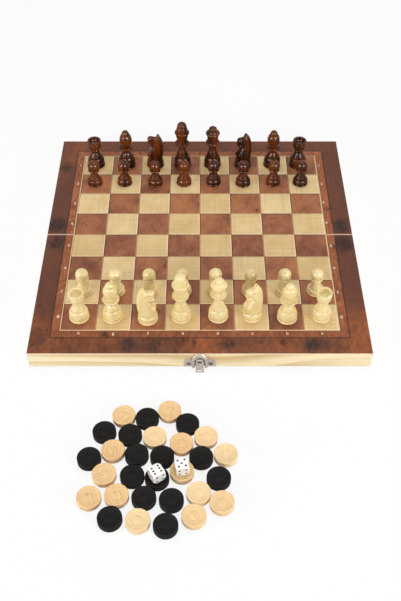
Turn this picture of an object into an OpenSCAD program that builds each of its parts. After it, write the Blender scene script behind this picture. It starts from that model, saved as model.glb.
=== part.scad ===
// Folding wooden games box: an open board on two shallow trays, with chessmen, draughts and dice.
// The origin is the middle of the fold line in the plane of the tray rims.
// +X is right, +Y is back and +Z is up.

/* [Board] */
// Side of the open square board
board_side = 340; // [330:1:360]
// Side of one playing square
square = 35; // [33:0.5:36]
// Width of the dark line left between two inlaid squares
square_line = 0.4; // [0.3:0.1:0.8]
// Clearance around each inlaid square
inlay_gap = 0.05; // [0.02:0.01:0.1]
// Gap between the two halves at the fold
seam_gap = 0.3; // [0.2:0.05:0.5]

/* [Trays] */
// Height of the pine rails
rail_h = 18; // [17:0.5:24]
// Thickness of the pine rails
rail_t = 10; // [9.6:0.2:12]
// Thickness of the panel on the rails
panel_t = 2; // [1.5:0.1:3]
// Thickness of the veneer on the panel
veneer_t = 0.5; // [0.4:0.1:1]
// Thickness of the lining inside each tray
lining_t = 0.4; // [0.3:0.1:0.6]
// Clearance between the lining and the rails
lining_gap = 0.1; // [0.05:0.05:0.3]

/* [Hinges] */
// Length of each butt hinge along the fold
hinge_w = 26; // [24:1:34]
// Distance of each hinge from the middle of the board
hinge_x = 95; // [60:5:120]
// Depth of one hinge leaf across the rail
leaf_depth = 8; // [7:0.2:8.8]
// Thickness of a hinge leaf
leaf_t = 0.5; // [0.4:0.05:0.6]
// Outer radius of the hinge knuckles
knuckle_r = 1; // [0.9:0.05:1.1]
// Radius of the hinge pin
hinge_pin_r = 0.5; // [0.4:0.05:0.6]
// Radial clearance of a turning knuckle on its pin
pin_clearance = 0.05; // [0.03:0.01:0.08]
// End gap between two knuckle segments
knuckle_gap = 0.2; // [0.15:0.05:0.4]
// Clearance between the knuckles and the rails
knuckle_room = 0.3; // [0.25:0.05:0.4]
// How far the fold axis lies below the rim plane
fold_drop = 0.1; // [0.1:0.02:0.16]

/* [Clasp] */
// Width of the clasp plate over both ears
clasp_w = 32; // [30:1:36]
// Height of the top of the ears above the rim plane
ear_top = 12.5; // [12:0.5:14]
// Height of the bottom of the ears above the rim plane
ear_bottom = 0.7; // [0.6:0.1:1.2]
// Thickness of the plates of the clasp and of the catch
clasp_t = 0.8; // [0.6:0.1:0.9]
// Inner radius of the arch
arch_r = 4.9; // [4.8:0.1:5.4]
// Width of the rounded rib around the arch
arch_rib = 2.4; // [2.2:0.1:2.8]
// How far the rounded rib stands off the rail
arch_rise = 3; // [2.9:0.1:3.4]
// Height of the hasp's pin above the rim plane
clasp_pin_z = 12; // [11:0.25:12.5]
// Distance of the hasp's pin from the rail's face
clasp_pin_off = 1.7; // [1.6:0.05:1.8]
// Radius of the hasp's pin
clasp_pin_r = 0.5; // [0.4:0.05:0.6]
// Width of the hasp
hasp_w = 8; // [7:0.25:8.5]
// Thickness of the hasp
hasp_t = 0.8; // [0.6:0.1:0.9]
// Distance from the hasp's pin to the window between its arms
window_z = 1.8; // [1.5:0.1:2.5]
// Height of the window between the hasp's arms
window_h = 1.6; // [1:0.1:2.5]
// Width of each arm beside the window
arm_w = 1.2; // [0.8:0.1:1.5]
// Angle at which the hasp hangs away from the rail, in degrees
hasp_lean = 22; // [20:1:40]
// Width of the catch's nose
nose_w = 4; // [3:0.25:4.5]
// Height of the catch's nose
nose_h = 1; // [0.8:0.1:1.2]
// How far the catch's nose stands off the rail
nose_off = 3.2; // [3:0.1:3.6]
// Clearance around the nose in the hasp's slot
slot_gap = 0.35; // [0.3:0.05:0.5]
// Width of the hasp's end bar beyond the slot
hasp_bar = 0.9; // [0.7:0.1:1.2]
// Width of the catch plate
catch_w = 15; // [14:0.5:18]
// Height of the catch plate
catch_h = 9; // [8:0.5:12]
// Distance of a catch screw from the edges of its plate
catch_screw_edge = 2.8; // [2.4:0.1:3]

/* [Screws] */
// Radius of the screws' shanks
screw_r = 0.7; // [0.6:0.05:0.8]
// Length of the screws
screw_len = 5.5; // [4.5:0.25:6.5]
// Clearance around each screw
screw_gap = 0.04; // [0.02:0.01:0.06]
// Head radius of the hinge screws
hinge_head_r = 1.4; // [1.2:0.05:1.5]
// Head radius of the clasp screws
clasp_head_r = 2; // [1.8:0.1:2.2]
// Distance of a hinge screw from the end of its leaf
hinge_screw_edge = 5.5; // [4:0.5:7]
// Distance of each clasp screw from the middle
clasp_screw_x = 11; // [10.5:0.25:12]
// Height of the clasp screws above the rim plane
clasp_screw_z = 5.2; // [4.5:0.1:6]

/* [Chessmen] */
// Radius of a chessman's foot
man_r = 10.3; // [9:0.1:11]
// Radius of a pawn's foot
pawn_r = 8.9; // [8:0.1:9.5]
// Height of the foot disc under a chessman's bulge
foot_h = 2.2; // [1.8:0.1:2.6]
// Radius of the rounded bulge above the foot
bulge_r = 4.6; // [3.8:0.1:4.8]
// Height of the pawns
pawn_h = 32.2; // [30:0.2:35]
// Radius of a pawn's round head
pawn_head_r = 6.6; // [5.8:0.1:7]
// Height of the rooks
rook_h = 36; // [34:0.5:38]
// Radius of a rook's cup
rook_cup_r = 7.9; // [7.2:0.1:8.4]
// Depth of the recess in a rook's cup
rook_recess = 4.2; // [2:0.2:5]
// Height of the knights, to the tips of their ears
knight_h = 45.5; // [43:0.5:48]
// Thickness of a knight's head
knight_t = 10.4; // [8:0.2:12]
// Height of the bishops
bishop_h = 50; // [47:0.5:53]
// Radius of a bishop's head
bishop_head_r = 7.3; // [6.6:0.1:7.8]
// Height of the queens
queen_h = 56.5; // [54:0.5:59]
// Radius of a queen's crown
queen_crown_r = 9.1; // [8.2:0.1:9.6]
// Height of the kings
king_h = 61; // [58:0.5:64]
// Radius of a king's crown
king_crown_r = 9.3; // [8.4:0.1:9.8]
// Radius of the collar discs on the tall men
collar_r = 8.8; // [7.6:0.1:9.4]
// Angle by which the light right knight turns to the front, in degrees
knight_turn = 32; // [0:1:50]

/* [Draughts and dice] */
// Diameter of a draught
draught_d = 22; // [20:0.5:24]
// Thickness of a draught
draught_t = 7; // [5:0.5:9]
// Bevel on the edges of a draught
draught_bevel = 0.6; // [0.3:0.1:1]
// Least gap between two loose draughts
draught_gap = 0.4; // [0.3:0.1:1]
// Place of the middle of the loose draughts, to the right
heap_x = -38; // [-60:1:60]
// Place of the middle of the loose draughts, to the front
heap_y = -286; // [-320:1:-284]
// Edge of a die
die_edge = 12; // [10:0.5:14]
// Radius of the pips on a die
pip_r = 1.1; // [0.8:0.05:1.2]
// Depth of the pips
pip_depth = 0.3; // [0.2:0.05:0.5]

/* [Hidden] */
ROW = [
    "rook_left", "bishop_left", "knight_left", "king",
    "queen", "knight_right", "bishop_right", "rook_right",
];
KINDS = ["rook", "bishop", "knight", "king", "queen", "knight", "bishop", "rook"];
FIXED = [
    "front_outer_rail", "front_hinge_rail", "front_side_rails", "front_panel", "front_face_veneer",
    "front_light_squares", "front_lining",
    "rear_outer_rail", "rear_hinge_rail", "rear_side_rails", "rear_panel", "rear_face_veneer",
    "rear_light_squares", "rear_lining",
    "front_hinge_leaves", "rear_hinge_leaves", "hinge_pins", "front_hinge_screws", "rear_hinge_screws",
    "clasp_plate", "clasp_hasp", "clasp_pin", "clasp_screws", "catch_plate", "catch_screws",
];
LOOSE = ["natural_draughts", "black_draughts", "dice"];

half_side = board_side / 2;
panel_z = rail_h;
veneer_z = panel_z + panel_t;
face_z = veneer_z + veneer_t;
inner_x = half_side - rail_t;
hinge_inner_y = seam_gap / 2 + rail_t;
table_z = -fold_drop - knuckle_r;
// First places of the loose draughts, in draught diameters from the middle of the heap
NATURAL_SPOTS = [
    [-1.5, 2.4], [0.5, 2.6], [-0.2, 1.4], [0.9, 1], [1.9, 1.4],
    [2.8, 0.5], [-1.9, 0.7], [-2.2, -0.4], [1, -0.3], [1.7, -1.3],
    [2.6, -1.7], [1.5, -2.3], [-0.7, -2.5], [-1.6, -1.4], [-2.7, -1.5],
];
BLACK_SPOTS = [
    [-0.5, 2.2], [1.2, 2], [-2.3, 1.6], [-1.2, 1.5], [-0.9, 0.5],
    [0.2, 0.4], [1.8, 0.4], [-2.8, 0.3], [-1, -0.5], [0, -0.5],
    [2.5, -0.6], [-0.5, -1.5], [0.6, -1.6], [-1.8, -2.4], [0.4, -2.7],
];
// The draughts that the two dice lie on
NATURAL_UNDER_DIE = 8;
BLACK_UNDER_DIE = 9;
// How far a cutter reaches past a face, and how far two joined solids overlap
cut = 1;
skin = 0.01;
knuckle_wall = 0.5;

hinge_screw_x = hinge_w / 2 - hinge_screw_edge;
leaf_edge_y = knuckle_r + knuckle_gap;
hinge_screw_y = (leaf_edge_y + leaf_depth) / 2;
catch_screw_x = catch_w / 2 - catch_screw_edge;
catch_screw_z = catch_h - catch_screw_edge;
knuckle_w = hinge_w / 3;

// Radii of the necks above the bells
pawn_neck_r = 3.8;
rook_neck_r = 4.6;
tall_neck_r = 4.7;
knight_neck_r = 8.6;
// Ledge between the foot's rim and the bulge, and the angles where the bulge starts and ends
foot_ledge = 0.4;
bulge_from = -50;
bulge_to = 60;
// Half heights of the rounded rims of the collars and crowns
fine_rim = 0.8;
collar_rim = 1.1;
pawn_rim = 1.2;
crown_rim = 1.4;
// Heights of the bowls under the collars
pawn_bowl_h = 1.8;
collar_bowl_h = 3;
// Heights of the collars, as shares of the men's heights
bishop_collar = 0.535;
queen_collar = 0.6;
king_collar = 0.53;
// How far the top of a bell lies under the collar, or under a rook's cup
pawn_bell_drop = 4.4;
rook_bell_drop = 7.5;
bishop_bell_drop = 10.5;
queen_bell_drop = 13;
king_bell_drop = 11;
// Height of a pawn's head over its collar
pawn_head_rise = 6.2;
// A rook's cup: its height, its wall and its lip
rook_cup_h = 10.5;
rook_wall = 2;
rook_lip = 0.5;
// Parts of the tall men's heads
bishop_head_h = 12.6;
bishop_head_half = 9.4;
bishop_cap_r = 4.65;
bishop_cap_h = 5.6;
queen_head_h = 10;
queen_dome_r = 6.9;
queen_dome_h = 4.6;
queen_ball_r = 4;
crown_neck_r = 5.5;
crown_cup_h = 7;
king_head_h = 13.5;
king_dome_r = 7.2;
knight_stand_z = foot_h + bulge_r * 2 - 0.6;
// How far each man stands off the middle of its square, to the right and to the back
LIGHT_ROW_OFF = [[0, 0], [-1, 0], [-0.2, -2.6], [-1.5, 0], [1.2, 0.6], [0.6, 1.2], [1.1, -1.3], [1, 0.8]];
LIGHT_PAWN_OFF = [[1.5, 0.4], [0.6, 0], [0.5, 0], [0, 0], [-1.3, 0.7], [0, 0], [-0.5, 0], [-2.2, 0.4]];
DARK_ROW_OFF =
    [[-2.8, 1.8], [-0.3, 1.5], [-1.3, 1.5], [-3.6, 1.5], [-2.3, 1.5], [-0.9, 1.5], [-0.4, 1.5], [-4.3, 1.8]];
DARK_PAWN_OFF =
    [[-1.5, 1.5], [-1.5, 2.2], [0, 1.3], [-1.2, 2.2], [-1.5, 2.6], [-1.6, 1.3], [-0.8, 2.6], [-3.7, 2.2]];
// A die's rounding ball and the step of its pips, as shares of its half edge and its edge
die_round = 1.48;
pip_step = 0.26;

catch_nose_z = -nose_h / 2;
// Along the hasp from its pin, measured with the box closed and latched
closed_pin_z = -2 * fold_drop - clasp_pin_z;
nose_far = norm([nose_off - clasp_pin_off, nose_h / 2 - closed_pin_z]);
slot_end = nose_far + slot_gap;
slot_start = -nose_h / 2 - closed_pin_z - slot_gap;
hasp_len = slot_end + hasp_bar;
hasp_knuckle_r = clasp_pin_r + knuckle_wall;
hasp_corner = 0.6;
clasp_pin_half = arch_r + arch_rib * 0.6;
arch_z = clasp_pin_z - 1.8;

PINE = "#f0e2b6";
BURL = "#7a4a32";
LIGHT_WOOD = "#d9b884";
NICKEL = "#c8beb4";
STEEL = "#b8b8b8";
LIGHT_MAN = "#f0dc9c";
DARK_MAN = "#5a2a12";

// Points of an arc in the profile plane, from one angle to another
function arc(x, z, r, from, to, n = 6) =
    [for (i = [0:n]) let (a = from + (to - from) * i / n) [x + r * cos(a), z + r * sin(a)]];

// Points of an ellipse's stretch in the profile plane
function oval(x, z, rx, rz, from, to, n = 8) =
    [for (i = [0:n]) let (a = from + (to - from) * i / n) [x + rx * cos(a), z + rz * sin(a)]];

// Points of a disc's rounded rim in the profile plane
function ring(r, z, half) = arc(r - half, z, half, -90, 90, 6);

// Points of a bell that narrows from one radius to another as it rises
function waist(r1, z1, r2, z2, n = 6) =
    [for (i = [1:n]) let (t = i / n) [r2 + (r1 - r2) * pow(1 - t, 1.15), z1 + (z2 - z1) * t]];

// Points of a steep-sided dome
function dome(r, z, tall, n = 12) =
    [for (i = [0:n]) let (a = 90 * i / n) [r * pow(cos(a), 0.72), z + tall * pow(sin(a), 0.86)]];

// Foot disc, bulge and bell that every man stands on, up to a neck
function stand(r, neck_r, neck_z) =
    let (
        bulge_x = r - foot_ledge - bulge_r,
        bulge_z = foot_h - bulge_r * sin(bulge_from),
        shoulder = [bulge_x + bulge_r * cos(bulge_to), bulge_z + bulge_r * sin(bulge_to)]
    )
    concat(
        [[0, 0], [r - foot_h / 2, 0]],
        arc(r - foot_h / 2, foot_h / 2, foot_h / 2, -90, 70, 5),
        arc(bulge_x, bulge_z, bulge_r, bulge_from, bulge_to, 8),
        waist(shoulder[0], shoulder[1], neck_r, neck_z)
    );

// A collar that widens from the neck like a shallow bowl and ends in a rounded rim
function bowl(neck_r, r, z, rim, height) =
    concat(oval(neck_r, z - rim, r - rim - neck_r, height, -84, -6, 5), ring(r, z, rim));

function pawn_profile() =
    let (head_z = pawn_h - pawn_head_r, collar = head_z - pawn_head_rise)
    concat(
        stand(pawn_r, pawn_neck_r, collar - pawn_bell_drop),
        bowl(pawn_neck_r, pawn_head_r, collar, pawn_rim, pawn_bowl_h),
        arc(0, head_z, pawn_head_r, -46, 90, 12)
    );

function rook_profile() =
    let (cup_z = rook_h - rook_cup_h, wall_r = rook_cup_r - rook_lip)
    concat(
        stand(man_r, rook_neck_r, cup_z - rook_bell_drop),
        ring(rook_neck_r + 1.5 * fine_rim, cup_z - 3 * fine_rim, fine_rim),
        oval(rook_neck_r, cup_z + 3.2, wall_r - rook_neck_r, 4.7, -88, 0, 6),
        [[wall_r, rook_h - 3], [rook_cup_r, rook_h - 3 + rook_lip]],
        arc(wall_r, rook_h - rook_lip, rook_lip, 0, 90, 3),
        [[rook_cup_r - rook_wall, rook_h], [rook_cup_r - 1.3 * rook_wall, rook_h - rook_recess]],
        [[0, rook_h - rook_recess]]
    );

function bishop_profile() =
    let (
        collar = bishop_h * bishop_collar,
        head_z = bishop_h - bishop_head_h,
        cap_z = bishop_h - bishop_cap_h
    )
    concat(
        stand(man_r, tall_neck_r, collar - bishop_bell_drop),
        bowl(tall_neck_r, collar_r, collar, collar_rim, collar_bowl_h),
        oval(0, head_z, bishop_head_r, bishop_head_half, -60, 46, 10),
        oval(0, cap_z, bishop_cap_r, bishop_cap_h, 4, 90, 6)
    );

// Collar, cup and rim that a queen and a king share, from the top of the bell up
function crown_part(collar, bell_drop, crown, crown_r) =
    concat(
        stand(man_r, tall_neck_r, collar - bell_drop),
        bowl(tall_neck_r, collar_r, collar, collar_rim, collar_bowl_h),
        [[crown_neck_r, collar + 1.7 * collar_rim]],
        oval(crown_neck_r, crown - crown_rim, crown_r - crown_rim - crown_neck_r, crown_cup_h, -76, 0, 6),
        ring(crown_r, crown, crown_rim)
    );

function queen_profile() =
    let (crown = queen_h - queen_head_h)
    concat(
        crown_part(queen_h * queen_collar, queen_bell_drop, crown, queen_crown_r),
        oval(0, crown + crown_rim - 0.2, queen_dome_r, queen_dome_h, 4, 56, 6),
        arc(0, queen_h - queen_ball_r, queen_ball_r, 8, 90, 6)
    );

function king_profile() =
    let (crown = king_h - king_head_h, dome_z = crown + crown_rim - 0.1)
    concat(
        crown_part(king_h * king_collar, king_bell_drop, crown, king_crown_r),
        dome(king_dome_r, dome_z, king_h - dome_z)
    );

function knight_profile() =
    concat(stand(man_r, knight_neck_r, knight_stand_z), [[0, knight_stand_z]]);

// Side view of a horse's head that looks along -X, from its chest round to its mane
function knight_outline() =
    let (z = knight_stand_z - skin, top = knight_h - 4, jaw = top - 13.5)
    concat(
        [[-8, z], [-9.2, z + 4], [-9.8, z + 7.5]],
        arc(-7.9, z + 9.2, 1.9, 190, 110, 3),
        [[-3.4, jaw - 1.8], [-2.8, jaw - 0.9], [-3.6, jaw]],
        arc(-7.7, jaw + 2.4, 2.3, 262, 185, 4),
        arc(-6.4, top - 3.7, 3.7, 176, 84, 5),
        [[-4, top - 0.6], [-1, top - 1.6], [1.4, top - 1.9]],
        [[2.8, knight_h], [4.2, knight_h - 1.5], [6.4, knight_h - 5.6]],
        arc(1.2, top - 10, 8.4, 46, 0, 5),
        [[9.9, z + 14], [9.6, z + 6], [8.6, z]]
    );

// Front view that narrows a horse's head from its chest to its nose
function knight_front() =
    let (z = knight_stand_z - skin, half = knight_t / 2)
    [
        [-half - 1.2, z], [half + 1.2, z], [half, z + 9], [half - 0.8, knight_h * 0.75],
        [half - 2.6, knight_h], [2.6 - half, knight_h], [0.8 - half, knight_h * 0.75], [-half, z + 9],
    ];

// A round solid turned from a profile
module turned(points) {
    rotate_extrude($fn = 64) polygon(points);
}

// Stands a flat outline of X and Z up and gives it a thickness about the XZ plane
module upright(thickness) {
    translate([0, thickness / 2, 0]) rotate([90, 0, 0]) linear_extrude(thickness) children();
}

module knight() {
    turned(knight_profile());
    intersection() {
        difference() {
            upright(3 * knight_t) polygon(knight_outline());
            // Mouth
            translate([-11, -2 * knight_t, knight_h - 12.8]) cube([4.2, 4 * knight_t, 0.8]);
        }
        rotate([0, 0, 90]) upright(3 * man_r) polygon(knight_front());
    }
}

module man(kind) {
    if (kind == "king") turned(king_profile());
    else if (kind == "queen") turned(queen_profile());
    else if (kind == "bishop") turned(bishop_profile());
    else if (kind == "knight") knight();
    else if (kind == "rook") turned(rook_profile());
    else turned(pawn_profile());
}

// Middle of a square, counted from 0 at the left and from 0 at the front
function file_x(i) = (i - 3.5) * square;
function rank_y(j) = (j - 3.5) * square;

module row_man(i, dark) {
    // The dark knights look to the left, as does the light right one, which also turns to the front
    turn = dark ? 0 : i == 2 ? 180 : i == 5 ? knight_turn : 0;
    off = dark ? DARK_ROW_OFF[i] : LIGHT_ROW_OFF[i];
    color(dark ? DARK_MAN : LIGHT_MAN)
        translate([file_x(i) + off[0], rank_y(dark ? 7 : 0) + off[1], face_z])
            rotate([0, 0, turn]) man(KINDS[i]);
}

module pawn(i, dark) {
    off = dark ? DARK_PAWN_OFF[i] : LIGHT_PAWN_OFF[i];
    color(dark ? DARK_MAN : LIGHT_MAN)
        translate([file_x(i) + off[0], rank_y(dark ? 6 : 1) + off[1], face_z]) man("pawn");
}

// Puts a child of the rear half in the front half's place as well, mirrored in the fold
module in_half(front) {
    mirror([0, front ? 1 : 0, 0]) children();
}

module outer_rail(front) {
    color(PINE) in_half(front)
        difference() {
            translate([-half_side, half_side - rail_t, 0]) cube([board_side, rail_t, rail_h]);
            if (front) for (x = [-clasp_screw_x, clasp_screw_x]) face_pilot(x, clasp_screw_z);
            else for (x = [-catch_screw_x, catch_screw_x]) face_pilot(x, catch_screw_z);
        }
}

// Pilot hole for a screw in the outer face of a rail
module face_pilot(x, z) {
    translate([x, half_side + cut, z]) rotate([90, 0, 0])
        cylinder(h = screw_len + cut + skin, r = screw_r + screw_gap, $fn = 32);
}

module hinge_rail(front) {
    color(PINE) in_half(front)
        difference() {
            translate([-half_side, seam_gap / 2, 0]) cube([board_side, rail_t, rail_h]);
            for (x = [-hinge_x, hinge_x]) translate([x, 0, 0]) {
                // Recess for the leaf
                translate([-hinge_w / 2 - knuckle_gap, -cut, -cut])
                    cube([hinge_w + 2 * knuckle_gap, leaf_depth + cut + knuckle_gap, leaf_t + cut]);
                // Room for the knuckles
                translate([0, 0, -fold_drop]) rotate([0, 90, 0])
                    cylinder(
                        h = hinge_w + 2 * knuckle_gap,
                        r = knuckle_r + knuckle_room,
                        center = true,
                        $fn = 48
                    );
                for (sx = [-hinge_screw_x, hinge_screw_x])
                    translate([sx, hinge_screw_y, -cut])
                        cylinder(h = screw_len + cut + skin, r = screw_r + screw_gap, $fn = 32);
            }
        }
}

module side_rails(front) {
    color(PINE) in_half(front)
        for (side = [0, 1]) mirror([side, 0, 0])
            translate([inner_x, hinge_inner_y, 0])
                cube([rail_t, half_side - rail_t - hinge_inner_y, rail_h]);
}

module panel(front) {
    color(PINE) in_half(front)
        translate([-half_side, seam_gap / 2, panel_z])
            cube([board_side, half_side - seam_gap / 2, panel_t]);
}

// Flat pieces on the light squares of one half, each smaller than its square by an inset on every side
module light_cells(front, inset, height) {
    for (i = [0:7], j = [0:3]) {
        // The rear half's near left square is dark, and the front half's is light
        light = (i + j) % 2 == (front ? 0 : 1);
        if (light)
            translate([(i - 4) * square + inset, j * square + (j == 0 ? -cut : inset), 0])
                cube([square - 2 * inset, square - inset + (j == 0 ? cut : -inset), height]);
    }
}

module face_veneer(front) {
    color(BURL) in_half(front)
        translate([0, 0, veneer_z])
            difference() {
                translate([-half_side, seam_gap / 2, 0])
                    cube([board_side, half_side - seam_gap / 2, veneer_t]);
                translate([0, 0, -cut]) light_cells(front, square_line / 2, veneer_t + 2 * cut);
            }
}

module light_squares(front) {
    color(LIGHT_WOOD) in_half(front)
        translate([0, 0, veneer_z])
            intersection() {
                light_cells(front, square_line / 2 + inlay_gap, veneer_t);
                translate([-half_side, seam_gap / 2, -cut])
                    cube([board_side, half_side, veneer_t + 2 * cut]);
            }
}

module lining(front) {
    color(LIGHT_WOOD) in_half(front)
        translate([lining_gap - inner_x, hinge_inner_y + lining_gap, panel_z - lining_t])
            cube([
                2 * (inner_x - lining_gap),
                half_side - rail_t - hinge_inner_y - 2 * lining_gap,
                lining_t,
            ]);
}

// A screw that points down from the underside of its head, with a flat or a domed head
module screw(head_r, domed) {
    head_h = domed ? head_r * 0.5 : leaf_t;
    tip = 2 * screw_r;
    difference() {
        turned(concat(
            [[0, -screw_len], [screw_r, tip - screw_len]],
            domed
                ? concat([[screw_r, 0]], oval(0, 0, head_r, head_h, 0, 90, 6))
                : [[screw_r, -head_h], [head_r, 0], [0, 0]]
        ));
        // Cross recess
        for (a = [45, 135])
            translate([0, 0, (domed ? head_h : 0) + cut - head_h * 0.6])
                rotate([0, 0, a]) cube([head_r * 1.1, 0.35, 2 * cut], center = true);
    }
}

// Countersunk hole through a leaf, wide at the rim
module countersink() {
    slope = (hinge_head_r - screw_r) / leaf_t;
    past = 0.1;
    translate([0, 0, -past])
        cylinder(
            h = leaf_t + 2 * past,
            r1 = hinge_head_r + screw_gap + slope * past,
            r2 = screw_r + screw_gap - slope * past,
            $fn = 32
        );
}

// Section of a knuckle and the tab that joins it to its leaf, of Y and Z about the fold axis
module knuckle_section(bore) {
    difference() {
        union() {
            circle(knuckle_r, $fn = 48);
            translate([0, fold_drop]) square([leaf_edge_y + leaf_t, leaf_t]);
        }
        circle(bore, $fn = 48);
    }
}

// One hinge leaf flush with the rim, for the rear half, with the knuckle segments named
module hinge_leaf(segments, bore) {
    difference() {
        translate([-hinge_w / 2, leaf_edge_y, 0]) cube([hinge_w, leaf_depth - leaf_edge_y, leaf_t]);
        for (sx = [-hinge_screw_x, hinge_screw_x]) translate([sx, hinge_screw_y, 0]) countersink();
    }
    for (s = segments)
        translate([s * knuckle_w, 0, -fold_drop]) rotate([90, 0, 90])
            linear_extrude(knuckle_w - knuckle_gap, center = true) knuckle_section(bore);
}

module hinge_leaves(front) {
    color(NICKEL) in_half(front)
        for (x = [-hinge_x, hinge_x]) translate([x, 0, 0])
            if (front) hinge_leaf([0], hinge_pin_r + pin_clearance);
            else hinge_leaf([-1, 1], hinge_pin_r);
}

module hinge_pins() {
    color(STEEL)
        for (x = [-hinge_x, hinge_x]) translate([x, 0, -fold_drop]) rotate([0, 90, 0])
            cylinder(h = hinge_w - knuckle_gap, r = hinge_pin_r, center = true, $fn = 48);
}

module hinge_screws(front) {
    color(STEEL) in_half(front)
        for (x = [-hinge_x, hinge_x], sx = [-hinge_screw_x, hinge_screw_x])
            translate([x + sx, hinge_screw_y, 0]) rotate([180, 0, 0]) screw(hinge_head_r, false);
}

// Lays a front view of X and Z on the outer face of a half and gives it a thickness outwards
module on_face(thickness) {
    translate([0, half_side + thickness, 0]) rotate([90, 0, 0]) linear_extrude(thickness) children();
}

// Front view of the arched opening of the clasp
module arch_shape(r) {
    translate([0, arch_z]) circle(r, $fn = 64);
    translate([-r, -cut]) square([2 * r, arch_z + cut]);
}

// Front view of an ear with its round shoulder
module ear_shape() {
    ear_round = (clasp_w / 2 - arch_r) / 2;
    translate([arch_r + ear_round, ear_top - ear_round]) circle(ear_round, $fn = 48);
    translate([arch_r, ear_bottom]) square([2 * ear_round, ear_top - ear_round - ear_bottom]);
}

module clasp_plate() {
    rib_mid = arch_r + arch_rib / 2;
    rib_rise = arch_rise - clasp_t;
    color(NICKEL) in_half(true)
        difference() {
            union() {
                on_face(clasp_t)
                    difference() {
                        union() {
                            for (side = [0, 1]) mirror([side, 0]) ear_shape();
                            intersection() {
                                arch_shape(arch_r + arch_rib);
                                translate([-clasp_w, ear_bottom]) square([2 * clasp_w, face_z + clasp_w]);
                            }
                        }
                        arch_shape(arch_r);
                    }
                // Rounded rib over the arch and down both sides
                translate([0, half_side + clasp_t - skin, arch_z]) rotate([-90, 0, 0])
                    intersection() {
                        rotate_extrude($fn = 64) translate([rib_mid, 0]) rib_section(rib_rise);
                        translate([-clasp_w, -clasp_w, -cut]) cube([2 * clasp_w, clasp_w + skin, clasp_w]);
                    }
                for (side = [-1, 1])
                    translate([side * rib_mid, half_side + clasp_t - skin, ear_bottom])
                        linear_extrude(arch_z - ear_bottom) rib_section(rib_rise);
            }
            // Bore for the hasp's pin
            translate([0, half_side + clasp_pin_off, clasp_pin_z]) rotate([0, 90, 0])
                cylinder(h = 2 * clasp_pin_half, r = clasp_pin_r, center = true, $fn = 48);
            for (x = [-clasp_screw_x, clasp_screw_x])
                translate([x, half_side - cut, clasp_screw_z]) rotate([-90, 0, 0])
                    cylinder(h = clasp_t + 2 * cut, r = screw_r + screw_gap, $fn = 32);
        }
}

// Half round section of the clasp's rib, standing up along Y
module rib_section(rise) {
    w = arch_rib / 2;
    polygon(concat([[-w, 0], [w, 0]], oval(0, rise - w, w, w, 0, 180, 8)));
}

module clasp_pin() {
    color(STEEL) in_half(true)
        translate([0, half_side + clasp_pin_off, clasp_pin_z]) rotate([0, 90, 0])
            cylinder(h = 2 * clasp_pin_half, r = clasp_pin_r, center = true, $fn = 48);
}

// Front view of the hasp, hanging from its pin at the origin
module hasp_shape() {
    hip = hasp_w / 2;
    arm = hip - hasp_corner;
    body_top = -window_z - window_h / 2;
    difference() {
        union() {
            translate([-arm, -slot_start]) square([2 * arm, slot_start]);
            // The body is wider than the arms, with a rounded end
            translate([-hip, hasp_corner - hasp_len]) square([2 * hip, hasp_len - hasp_corner + body_top]);
            translate([-arm, -hasp_len]) square([2 * arm, hip]);
            for (side = [-1, 1])
                translate([side * arm, hasp_corner - hasp_len]) circle(hasp_corner, $fn = 32);
        }
        // Window between the arms, under the knuckle
        translate([-arm + arm_w, -window_z - window_h]) square([2 * (arm - arm_w), window_h]);
        // Slot for the catch's nose
        translate([-nose_w / 2 - slot_gap, -slot_end])
            square([nose_w + 2 * slot_gap, slot_end - slot_start]);
    }
}

module clasp_hasp() {
    arm = hasp_w / 2 - hasp_corner;
    color(NICKEL) in_half(true)
        translate([0, half_side + clasp_pin_off, clasp_pin_z]) rotate([hasp_lean, 0, 0])
            difference() {
                union() {
                    rotate([0, 90, 0]) cylinder(h = 2 * arm, r = hasp_knuckle_r, center = true, $fn = 48);
                    translate([0, hasp_t / 2, 0]) rotate([90, 0, 0]) linear_extrude(hasp_t) hasp_shape();
                }
                rotate([0, 90, 0])
                    cylinder(h = hasp_w, r = clasp_pin_r + pin_clearance, center = true, $fn = 48);
            }
}

// Domed screws in the outer face of a half
module face_screws(x, z) {
    for (side = [-1, 1])
        translate([side * x, half_side + clasp_t, z]) rotate([-90, 0, 0]) screw(clasp_head_r, true);
}

module clasp_screws() {
    color(STEEL) in_half(true) face_screws(clasp_screw_x, clasp_screw_z);
}

module catch_plate() {
    color(NICKEL) difference() {
        union() {
            on_face(clasp_t) translate([-catch_w / 2, ear_bottom]) square([catch_w, catch_h - ear_bottom]);
            // Nose, bent out of the plate at the rim
            translate([-nose_w / 2, half_side + skin, catch_nose_z]) cube([nose_w, nose_off - skin, nose_h]);
            translate([-nose_w / 2, half_side + skin, catch_nose_z])
                cube([nose_w, clasp_t - skin, ear_bottom - catch_nose_z + skin]);
        }
        for (x = [-catch_screw_x, catch_screw_x])
            translate([x, half_side - cut, catch_screw_z]) rotate([-90, 0, 0])
                cylinder(h = clasp_t + 2 * cut, r = screw_r + screw_gap, $fn = 32);
    }
}

module catch_screws() {
    color(STEEL) face_screws(catch_screw_x, catch_screw_z);
}

// How far one point is pushed by the points that lie closer to it than the least distance
function push(points, i, least) =
    [for (j = [0:len(points) - 1])
        let (away = points[i] - points[j], d = norm(away))
        if (j != i && d < least) away / d * (least - d) / 2];

function total(list, i = 0) = i < len(list) ? list[i] + total(list, i + 1) : [0, 0];

// The points after a number of passes that push the close ones apart
function spread(points, least, passes) =
    passes == 0
        ? points
        : spread(
            [for (i = [0:len(points) - 1]) points[i] + total(push(points, i, least))],
            least,
            passes - 1
        );

// Middles of all the loose draughts, the natural ones first
HEAP = spread(draught_d * concat(NATURAL_SPOTS, BLACK_SPOTS), draught_d + draught_gap, 60);

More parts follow.
